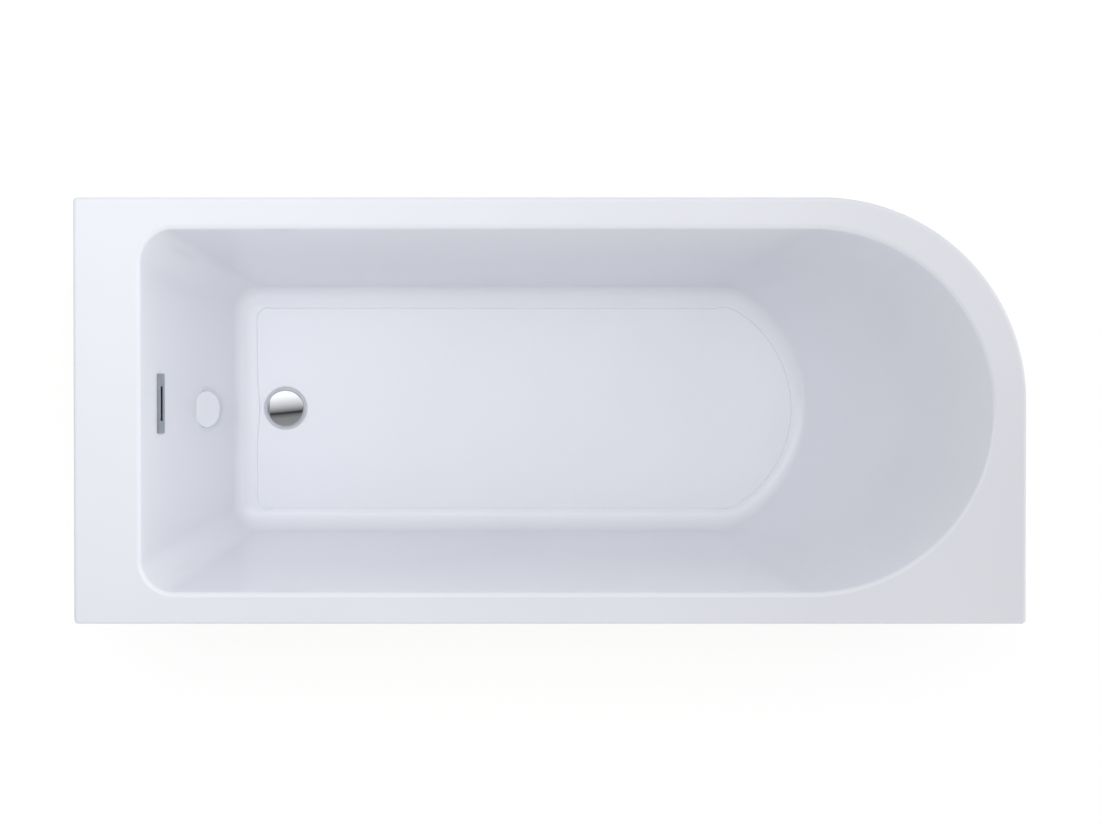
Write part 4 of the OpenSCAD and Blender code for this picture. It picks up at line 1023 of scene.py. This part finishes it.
# %% Hose tree
def hose_tree():
    tree, given = new_tree("ribbed_hose", [(name, "Float") for name in (
        "Ridge radius", "Valley radius", "Bore radius", "Cuff", "Ribs")])
    length = add_node(tree, "GeometryNodeCurveLength", links={"Curve": given["Geometry"]})
    grid = add_node(tree, "GeometryNodeMeshGrid",
                    values={"Size X": 1.0, "Size Y": 1.0, "Vertices X": 29, "Vertices Y": 760})
    where = add_node(tree, "GeometryNodeInputPosition")
    split = add_node(tree, "ShaderNodeSeparateXYZ", links={"Vector": where})
    turn = add_node(tree, "ShaderNodeMapRange",
                    values={"From Min": -0.5, "From Max": 0.5, "To Max": 2 * math.pi},
                    links={"Value": split.outputs["X"]})
    bore_starts, bore_ends, closed = 0.92, 0.995, 0.9975
    run = add_node(tree, "ShaderNodeMath", values={1: 0.5}, links={0: split.outputs["Y"]})
    # out along the outside, back through the bore, and round to the first row
    out = add_node(tree, "ShaderNodeMapRange", values={"From Max": bore_starts}, links={"Value": run})
    back = add_node(tree, "ShaderNodeMapRange", values={"From Min": bore_starts, "From Max": bore_ends},
                    links={"Value": run})
    share = add_node(tree, "ShaderNodeMath", {"operation": "SUBTRACT"}, links={0: out, 1: back})
    place = add_node(tree, "ShaderNodeMath", {"operation": "MULTIPLY"}, links={0: share, 1: length})
    in_bore = add_node(tree, "ShaderNodeMath", {"operation": "GREATER_THAN"}, {1: bore_starts}, {0: run})
    closing = add_node(tree, "ShaderNodeMath", {"operation": "GREATER_THAN"}, {1: closed}, {0: run})
    in_bore = add_node(tree, "ShaderNodeMath", {"operation": "SUBTRACT"}, links={0: in_bore, 1: closing})
    # ribs between the two plain cuffs
    last_rib = add_node(tree, "ShaderNodeMath", {"operation": "SUBTRACT"},
                        links={0: length, 1: given["Cuff"]})
    phase = add_node(tree, "ShaderNodeMapRange",
                     links={"Value": place, "From Min": given["Cuff"], "From Max": last_rib,
                            "To Max": given["Ribs"]})
    phase = add_node(tree, "ShaderNodeMath", {"operation": "MULTIPLY"}, {1: 2 * math.pi}, {0: phase})
    wave = add_node(tree, "ShaderNodeMath", {"operation": "COSINE"}, links={0: phase})
    wave = add_node(tree, "ShaderNodeMapRange", values={"From Min": 1.0, "From Max": -1.0},
                    links={"Value": wave})
    swell = add_node(tree, "ShaderNodeMath", {"operation": "POWER"}, {1: 0.7}, {0: wave})
    skin_r = add_node(tree, "ShaderNodeMapRange",
                      links={"Value": swell, "To Min": given["Valley radius"],
                             "To Max": given["Ridge radius"]})
    radius = add_node(tree, "ShaderNodeMapRange",
                      links={"Value": in_bore, "To Min": skin_r,
                             "To Max": given["Bore radius"]})
    cosine = add_node(tree, "ShaderNodeMath", {"operation": "COSINE"}, links={0: turn})
    sine = add_node(tree, "ShaderNodeMath", {"operation": "SINE"}, links={0: turn})
    reach_n = add_node(tree, "ShaderNodeMath", {"operation": "MULTIPLY"}, links={0: radius, 1: cosine})
    reach_b = add_node(tree, "ShaderNodeMath", {"operation": "MULTIPLY"}, links={0: radius, 1: sine})
    sample = add_node(tree, "GeometryNodeSampleCurve", {"mode": "LENGTH", "use_all_curves": True},
                      links={"Curves": given["Geometry"], "Length": place})
    side = add_node(tree, "ShaderNodeVectorMath", {"operation": "CROSS_PRODUCT"},
                    links={0: sample.outputs["Tangent"], 1: sample.outputs["Normal"]})
    reach_n = add_node(tree, "ShaderNodeVectorMath", {"operation": "SCALE"},
                       links={0: sample.outputs["Normal"], "Scale": reach_n})
    reach_b = add_node(tree, "ShaderNodeVectorMath", {"operation": "SCALE"},
                       links={0: side, "Scale": reach_b})
    reach = add_node(tree, "ShaderNodeVectorMath", links={0: reach_n, 1: reach_b})
    point = add_node(tree, "ShaderNodeVectorMath", links={0: sample.outputs["Position"], 1: reach})
    moved = add_node(tree, "GeometryNodeSetPosition", links={"Geometry": grid, "Position": point})
    welded = add_node(tree, "GeometryNodeMergeByDistance", values={"Distance": 1e-6},
                      links={"Geometry": moved})
    return close_tree(tree, welded, given["Finish"])


def from_tree(name, carrier_data, tree, inputs):
    """Run a node tree on some data and return the plain mesh that it makes."""
    carrier = linked(name, carrier_data)
    modifier = carrier.modifiers.new("tree", "NODES")
    modifier.node_group = tree
    for socket in tree.interface.items_tree:
        if socket.item_type == "SOCKET" and socket.in_out == "INPUT" and socket.name in inputs:
            modifier[socket.identifier] = inputs[socket.name]
    return baked(carrier)


route_curve = bpy.data.curves.new("hose_route", "CURVE")
route_curve.dimensions = "3D"
line = route_curve.splines.new("POLY")
line.points.add(len(route) - 1)
for spot, knot in zip(route, line.points):
    knot.co = (*spot, 1)
hose_mesh = from_tree("ribbed_hose_piece", route_curve, hose_tree(),
                      {"Ridge radius": HOSE_R * MM, "Valley radius": HOSE_VALLEY * MM,
                       "Bore radius": HOSE_BORE * MM, "Cuff": HOSE_CUFF * MM, "Ribs": float(HOSE_RIBS),
                       "Finish": grey_pvc})
shape = bmesh.new()
shape.from_mesh(hose_mesh)
bmesh.ops.recalc_face_normals(shape, faces=shape.faces)
shape.to_mesh(hose_mesh)
shape.free()
crisp(hose_mesh, 70)
hand_over("ribbed_hose", hose_mesh, grey_pvc, stands_for=["overflow_hose"])

# %% [markdown]
# ## Moulded and pressed fittings
# Waste body, trap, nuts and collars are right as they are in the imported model, but their round faces are
# loose flat triangles. A copy of each is welded, flat faces are merged, its edges get the small radius that
# a mould leaves, and the round faces are smoothed.

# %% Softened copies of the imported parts
def softened(node, finish, edge_mm=0.4, body="bath"):
    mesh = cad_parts[node].data.copy()
    shape = bmesh.new()
    shape.from_mesh(mesh)
    bmesh.ops.remove_doubles(shape, verts=shape.verts, dist=3e-6)
    bmesh.ops.dissolve_limit(shape, angle_limit=math.radians(0.4), verts=shape.verts, edges=shape.edges)
    shape.to_mesh(mesh)
    shape.free()
    mesh = bevelled(node, mesh, edge_mm, 2, 45)
    crisp(mesh, 30)
    return hand_over(node + "_soft", mesh, finish, body, [node])


for node in ("waste_body", "tail_nut", "trap_body", "trap_cup", "outlet_nut", "overflow_body",
             "hose_collar_upper", "hose_collar_lower"):
    softened(node, polypropylene)
for node in ("flange_seal", "body_seal", "tail_seal", "trap_cup_seal", "outlet_seal", "overflow_seal"):
    softened(node, epdm_rubber, 0.25)
softened("plug_seal", epdm_rubber, 0.25, "plug")
softened("waste_flange", chromium, 0.4)
softened("plug_cartridge", grey_acetal, 0.3)
softened("screw_caps", polypropylene, 0.5)

# %% [markdown]
# ## Fasteners
# Screws and nuts repeat, so one of each is made and Geometry Nodes set copies of it on points. Each point
# carries the direction in which its copy looks. The wood screws have a pan head with a cross recess, and the
# nuts have chamfered corners.

# %% One screw and one nut
SCREW_R, SCREW_HEAD_R, SCREW_HEAD_H, SCREW_PITCH = 2.2, 4.2, 2.6, 1.8


def screw_mesh(length):
    """Head below the origin, shank upwards, with ring threads."""
    head = [(SCREW_HEAD_R * across, -SCREW_HEAD_H * up)
            for across, up in ((0, 1), (0.55, 1), (0.8, 0.9), (0.95, 0.6), (1, 0.25))]
    head += [(SCREW_HEAD_R, -0.2), (SCREW_HEAD_R - 0.2, 0), (SCREW_R, 0)]
    thread = []
    for k in range(int(length / SCREW_PITCH) - 1):
        thread += [(SCREW_R * across, up + SCREW_PITCH * k)
                   for across, up in ((0.72, 1.2), (1, 1.7), (0.72, 2.2))]
    body = mesh_from("wood_screw", *turned(head + thread + [(SCREW_R * 0.6, length - 1), (0, length)], 20,
                                           closed=False))
    arms = [prism("recess", [(-w, -l), (w, -l), (w, l), (-w, l)], -SCREW_HEAD_H - 1, -SCREW_HEAD_H + 1.1)
            for w, l in ((0.42, 2.0), (2.0, 0.42))]
    body = cut(body, arms)
    crisp(body, 35)
    return body


def nut_mesh(flats, bore, height):
    """A hexagon nut that stands on the origin."""
    corner = flats / math.sqrt(3)
    hexagon = circle_at(corner, 0, 6)
    blank = prism("nut", hexagon, 0, height)
    rise = (corner - flats / 2) * math.tan(math.radians(30))
    cone_points, cone_faces = turned([(0, -1), (flats / 2 - 1.2, 0), (flats / 2, 0),
                                      (corner + 1, rise + 0.6), (corner + 1, height - rise - 0.6),
                                      (flats / 2, height), (0, height + 1)], 48, closed=False)
    blank = cut(blank, [mesh_from("cone", cone_points, cone_faces)], "INTERSECT")
    blank = cut(blank, [prism("bore", circle_at(bore, 0, 32), -2, height + 2)])
    crisp(blank, 25)
    return blank


# %% Tree that sets copies on points
def copies_tree():
    tree, given = new_tree("fasteners_on_points", [("Fastener", "Object"), ("Scale", "Float")])
    one = add_node(tree, "GeometryNodeObjectInfo", links={"Object": given["Fastener"]})
    look = add_node(tree, "GeometryNodeInputNamedAttribute", {"data_type": "FLOAT_VECTOR"}, {"Name": "look"})
    aim = add_node(tree, "FunctionNodeAlignRotationToVector", {"axis": "Z"},
                   links={"Vector": look.outputs["Attribute"]})
    spin = add_node(tree, "GeometryNodeInputIndex")
    angle = add_node(tree, "ShaderNodeMath", {"operation": "MULTIPLY"}, {1: 1.3}, {0: spin})
    own = add_node(tree, "FunctionNodeAxisAngleToRotation", values={"Axis": (0, 0, 1)},
                   links={"Angle": angle})
    turned_aim = add_node(tree, "FunctionNodeRotateRotation", {"rotation_space": "LOCAL"},
                          links={"Rotation": aim, "Rotate By": own})
    placed = add_node(tree, "GeometryNodeInstanceOnPoints",
                      links={"Points": given["Geometry"], "Instance": one.outputs["Geometry"],
                             "Rotation": turned_aim, "Scale": given["Scale"]})
    return close_tree(tree, placed, given["Finish"])


fastener_tree = copies_tree()


def set_copies(name, pattern, places, node):
    """Zinc plated copies of a pattern mesh at (point in mm, look) places, as one piece."""
    points = bpy.data.meshes.new(name + "_points")
    points.from_pydata([Vector(p) * MM for p, _ in places], [], [])
    looks = points.attributes.new("look", "FLOAT_VECTOR", "POINT")
    for item, (_, look) in zip(looks.data, places):
        item.vector = look
    sample = linked(name + "_pattern", pattern)
    mesh = from_tree(name, points, fastener_tree, {"Fastener": sample, "Scale": 1.0, "Finish": zinc_plate})
    bpy.data.objects.remove(sample)
    crisp(mesh, 30)
    return hand_over(name, mesh, zinc_plate, stands_for=[node])


# %% [markdown]
# ## Where the fasteners sit
# The places repeat the frame's sizes: two cross channels under the base board, a plate for the middle foot,
# three wall brackets, five panel clips and six screws through the panel's foot.

# %% Frame levels and screw places
BOARD_T, CHANNEL_SCREW_Y, CLIP_X = 15, (-140, -50, 50, 140), (-700, -350, 0, 350)
BOARD_LEFT, BOARD_RIGHT = WASTE_X + 80, FLOOR_PLAN[1] - HEAD_COVE_R - 30
CHANNEL_X = (BOARD_LEFT + 131, BOARD_RIGHT - 146)
STEEL_T, PLATE_SCREW = 2, 30
CHANNEL_TOP = FLOOR_Z - FIBRE_OUT - 0.3 - BOARD_T - 0.3
STRIP_BOTTOM = RIM_Z - FIBRE_OUT - 0.3 - 30
BRACKET_TOP = min(RIM_Z - LIP_H - 0.3, STRIP_BOTTOM)
MIDDLE_X = sum(CHANNEL_X) / 2
UP = (0, 0, 1)
WALL_STRIP_Y = -(HALF_W - ACRYLIC_T - 4 - 14)
ROOM_STRIP_Y = HALF_W - ACRYLIC_T - PANEL_T - 4 - 14
HEAD_STRIP_X = HALF_L - ACRYLIC_T - PANEL_T - 4 - 14
TAP_SCREW_X = -HALF_L + ACRYLIC_T + 12 + 30 - 12

board_places = [((x, y, CHANNEL_TOP - STEEL_T), UP) for x in CHANNEL_X for y in CHANNEL_SCREW_Y]
plate_places = [((MIDDLE_X + i * PLATE_SCREW, j * PLATE_SCREW, CHANNEL_TOP - STEEL_T), UP)
                for i in (-1, 1) for j in (-1, 1)]
bracket_places = [((x, WALL_STRIP_Y, BRACKET_TOP - STEEL_T), UP) for x in (-450, 420)]
bracket_places += [((TAP_SCREW_X, -150, BRACKET_TOP - STEEL_T), UP)]
clip_places = [((x, ROOM_STRIP_Y, STRIP_BOTTOM - 1.5), UP) for x in CLIP_X]
clip_places += [((HEAD_STRIP_X, -230, STRIP_BOTTOM - 1.5), UP)]
CAP_Z = PANEL_LIFT + PANEL_T + 20
panel_places = [((x, HALF_W - PANEL_OUT, CAP_Z), (0, -1, 0)) for x in CLIP_X]
panel_places += [((HALF_L - PANEL_OUT, y, CAP_Z), (-1, 0, 0)) for y in (-280, -60)]

# %% Set the screws and nuts
board_screw = screw_mesh(BOARD_T)
timber_screw = screw_mesh(18)
for node, pattern, places in (("channel_screws", board_screw, board_places),
                              ("plate_screws", board_screw, plate_places),
                              ("bracket_screws", timber_screw, bracket_places),
                              ("clip_screws", timber_screw, clip_places),
                              ("panel_screws", timber_screw, panel_places)):
    set_copies(node + "_cross", pattern, places, node)

FOOT_Y = OPENING[2] - 70
FEET = [(x, y) for x in CHANNEL_X for y in (-FOOT_Y, FOOT_Y)] + [(MIDDLE_X, 0)]
STUD_THREAD_R, NUT_FLATS, NUT_H, LOCK_H = 5, 17, 8, 5
nut_z = CHANNEL_TOP - STEEL_T - NUT_H
weld_places = [((x, y, nut_z), UP) for x, y in FEET]
lock_places = [((x, y, CHANNEL_TOP), UP) for x, y in FEET[:4]] + [((*FEET[4], nut_z - 0.3 - LOCK_H), UP)]
for node, height, places in (("weld_nuts", NUT_H, weld_places), ("lock_nuts", LOCK_H, lock_places)):
    set_copies(node + "_hex", nut_mesh(NUT_FLATS, STUD_THREAD_R + 0.05, height), places, node)

# %% [markdown]
# ## Levelling feet
# Each foot is a threaded stud in a nylon pad. The thread is a real helix of 1.5 mm pitch, skinned from a
# wave of radius that climbs as it goes round. The pad is turned, with a ribbed sole.

# %% Studs and pads
PITCH, THREAD_DEPTH, STUD_TIP_R = 1.5, 0.8, 4
PAD_R, PAD_H, STUD_LOW = 25, 16, 5


def stud_mesh(top):
    steps = 18
    low, high = STUD_LOW, top - 1
    rows = int((high - low) / (PITCH / 4))
    points = []
    for j in range(rows + 1):
        z = low + (high - low) * j / rows
        for k in range(steps):
            climb = (z / PITCH + k / steps) % 1
            radius = STUD_THREAD_R - THREAD_DEPTH * abs(2 * climb - 1) ** 1.2
            angle = 2 * math.pi * k / steps
            points.append((radius * math.cos(angle), radius * math.sin(angle), z))
    tip = len(points)
    points += [(x, y, top) for x, y in circle_at(STUD_TIP_R, 0, steps)]
    faces = tube_faces(rows + 2, steps) + [list(range(steps)), list(range(tip, tip + steps))]
    rod = mesh_from("stud", points, faces)
    collar = nut_mesh(NUT_FLATS, STUD_THREAD_R - 0.4, 6)
    collar.transform(Matrix.Translation((0, 0, (PAD_H + 0.3) * MM)))
    add_to(rod, [collar])
    crisp(rod, 30)
    return rod


PAD_SECTION = [(0, 0), (6, 0), (6.4, 0.8), (9.6, 0.8), (10, 0), (14, 0), (14.4, 0.8), (17.6, 0.8), (18, 0),
               (PAD_R - 2.4, 0), (PAD_R - 1.2, 0.5), (PAD_R - 0.3, 1.4), (PAD_R, 2.4), (PAD_R, 5),
               (PAD_R - 0.5, 6.2), (PAD_R - 2, 7), (16.5, 8.7), (14.2, 9.8), (12.8, 11.4), (11.6, PAD_H - 1),
               (11, PAD_H - 0.3), (10.3, PAD_H), (5.4, PAD_H), (5.05, PAD_H - 0.4), (5.05, STUD_LOW - 0.3),
               (0, STUD_LOW - 0.3)]
corner_top = CHANNEL_TOP + LOCK_H + 25 + 8
centre_top = FLOOR_Z - FIBRE_OUT - 0.3 - 6
feet_bodies = ["foot_tap_wall", "foot_tap_room", "foot_head_wall", "foot_head_room", "foot_centre"]
for number, ((x, y), body) in enumerate(zip(FEET, feet_bodies), 1):
    spot = Matrix.Translation((x * MM, y * MM, 0))
    rod = stud_mesh(centre_top if body == "foot_centre" else corner_top)
    rod.transform(spot)
    hand_over(f"foot_stud_{number}_threaded", rod, zinc_plate, body, [f"foot_stud_{number}"])
    pad = mesh_from("pad", *turned(PAD_SECTION, 64, closed=False))
    pad.transform(spot)
    crisp(pad, 35)
    hand_over(f"foot_pad_{number}_turned", pad, black_nylon, body, [f"foot_pad_{number}"])

# %% [markdown]
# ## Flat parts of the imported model
# Boards, strips, channels, plates, brackets and clips have flat faces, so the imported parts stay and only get
# their real finish.

# %% Finishes for the flat parts
for node, finish in {"base_board": chipboard, "rim_strip_room": softwood_along_x,
                     "rim_strip_wall": softwood_along_x, "rim_board_tap": softwood_along_y,
                     "rim_strip_head": softwood_along_y, "plinth_room": softwood_along_x,
                     "plinth_head": softwood_along_y, "channel_tap": zinc_plate,
                     "channel_head": zinc_plate, "centre_plate": zinc_plate, "wall_brackets": zinc_plate,
                     "panel_clips": zinc_plate}.items():
    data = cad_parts[node].data
    data.materials.clear()
    data.materials.append(finish)
softened("overflow_nuts", zinc_plate, 0.3)

# %% [markdown]
# ## Floor and light
# The photograph's ground is pure white. The floor is pale, and to the camera, to mirrors and to glass it
# also glows a little, so that it reads white and still keeps a soft shadow.

# %% Stage floor
def make_stage_floor():
    finish = bpy.data.materials.new("pale_studio_floor")
    finish.use_nodes = True
    tree = finish.node_tree
    tree.nodes.clear()
    path_kind = add_node(tree, "ShaderNodeLightPath")
    seen = add_node(tree, "ShaderNodeMath", {"operation": "MAXIMUM"},
                    links={0: path_kind.outputs["Is Camera Ray"], 1: path_kind.outputs["Is Glossy Ray"]})
    seen = add_node(tree, "ShaderNodeMath", {"operation": "MAXIMUM"},
                    links={0: seen, 1: path_kind.outputs["Is Transmission Ray"]})
    share = add_node(tree, "ShaderNodeMath", {"operation": "MULTIPLY"}, {1: 0.8}, {0: seen})
    matt = add_node(tree, "ShaderNodeBsdfDiffuse", values={"Color": linear("#F4F4F4")})
    glow = add_node(tree, "ShaderNodeEmission", values={"Color": linear("#FFFFFF"), "Strength": 1.08})
    mixed = add_node(tree, "ShaderNodeMixShader", links={0: share, 1: matt, 2: glow})
    add_node(tree, "ShaderNodeOutputMaterial", links={"Surface": mixed})
    return finish


FLOOR_REACH, FLOOR_DROP = 9000, 0.3
floor_mesh = mesh_from("studio_floor", [(x * FLOOR_REACH, y * FLOOR_REACH, -FLOOR_DROP)
                                        for x, y in ((-1, -1), (1, -1), (1, 1), (-1, 1))],
                       [[0, 1, 2, 3]], outward=False)
floor_mesh.materials.append(make_stage_floor())
studio_floor = bpy.data.objects.new("studio_floor", floor_mesh)
scene.collection.objects.link(studio_floor)


# %% [markdown]
# The photograph is lit by a wide soft light: the room is brighter towards the head end, the ceiling above the
# bath glows, pale walls light the rim from low down, and a soft lamp hangs near the tap end. Mirrors see more
# of a room than matt surfaces do, so what the chromed dome mirrors is given as a ramp from one long side to
# the other: a grey half, a dark joint and a bright half.

# %% Room light
MIRRORED_CEILING = [(0.00, 0.60), (0.14, 0.46), (0.33, 0.38), (0.39, 0.20), (0.414, 0.05), (0.428, 0.04),
                    (0.448, 0.26), (0.478, 0.45), (0.525, 0.75), (0.58, 1.05), (0.66, 1.45), (0.72, 1.75),
                    (0.80, 1.75), (0.90, 0.95), (1.0, 0.85)]


def make_room(world):
    world.use_nodes = True
    tree = world.node_tree
    tree.nodes.clear()
    place = add_node(tree, "ShaderNodeTexCoord").outputs["Generated"]
    turned_room = add_node(tree, "ShaderNodeMapping", values={"Rotation": (0, 0, math.radians(-6))},
                           links={"Vector": place})
    split = add_node(tree, "ShaderNodeSeparateXYZ", links={"Vector": turned_room})
    height = add_node(tree, "ShaderNodeMath", {"operation": "MAXIMUM"}, {1: 0.05}, {0: split.outputs["Z"]})
    tilt = add_node(tree, "ShaderNodeMath", {"operation": "DIVIDE"},
                    links={0: split.outputs["Y"], 1: height})
    share = add_node(tree, "ShaderNodeMapRange", values={"From Min": -0.6, "From Max": 0.6},
                     links={"Value": tilt})
    ceiling = add_node(tree, "ShaderNodeValToRGB", links={"Fac": share})
    set_ramp(ceiling, MIRRORED_CEILING)
    low = add_node(tree, "ShaderNodeMapRange", {"interpolation_type": "SMOOTHSTEP"},
                   {"From Min": 0.35, "From Max": 0.6}, {"Value": split.outputs["Z"]})
    mirrored = add_node(tree, "ShaderNodeMix", {"data_type": "RGBA"}, {6: linear("#E8E8E8")},
                        {0: low, 7: ceiling})
    side = add_node(tree, "ShaderNodeMapRange",
                    values={"From Min": -1.0, "From Max": 1.0, "To Min": 0.05, "To Max": 0.85},
                    links={"Value": split.outputs["X"]})
    overhead = add_node(tree, "ShaderNodeMapRange", {"interpolation_type": "SMOOTHSTEP"},
                        {"From Min": 0.72, "From Max": 0.98, "To Max": 0.80}, {"Value": split.outputs["Z"]})
    soft = add_node(tree, "ShaderNodeMath", links={0: side, 1: overhead})
    horizon = add_node(tree, "ShaderNodeMapRange", {"interpolation_type": "SMOOTHSTEP"},
                       {"From Min": 0.42, "From Max": 0.15, "To Max": 0.6}, {"Value": split.outputs["Z"]})
    soft = add_node(tree, "ShaderNodeMath", links={0: soft, 1: horizon})
    path_kind = add_node(tree, "ShaderNodeLightPath")
    colour = add_node(tree, "ShaderNodeMix", {"data_type": "RGBA"},
                      links={0: path_kind.outputs["Is Glossy Ray"], 6: soft,
                             7: mirrored.outputs[2]})
    unlit = add_node(tree, "ShaderNodeMath", {"operation": "MAXIMUM"},
                     links={0: path_kind.outputs["Is Camera Ray"],
                            1: path_kind.outputs["Is Transmission Ray"]})
    seen = add_node(tree, "ShaderNodeMix", {"data_type": "RGBA"}, {7: linear("#FFFFFF")},
                    {0: unlit, 6: colour.outputs[2]})
    air = add_node(tree, "ShaderNodeBackground", values={"Strength": 1.0}, links={"Color": seen.outputs[2]})
    add_node(tree, "ShaderNodeOutputWorld", links={"Surface": air})


world = bpy.data.worlds.new("plain_room")
scene.world = world
make_room(world)

# %% Soft lamp
lamp_data = bpy.data.lights.new("soft_lamp", "AREA")
lamp_data.shape = "RECTANGLE"
lamp_data.size, lamp_data.size_y = 1.2, 0.8
lamp_data.energy = 16
lamp = bpy.data.objects.new("soft_lamp", lamp_data)
lamp.location = (-0.7, 0.38, 2.6)
lamp.visible_glossy = False
lamp.visible_camera = False
scene.collection.objects.link(lamp)
print("lamp", lamp_data.energy, "W")

scene.view_settings.view_transform = "Standard"
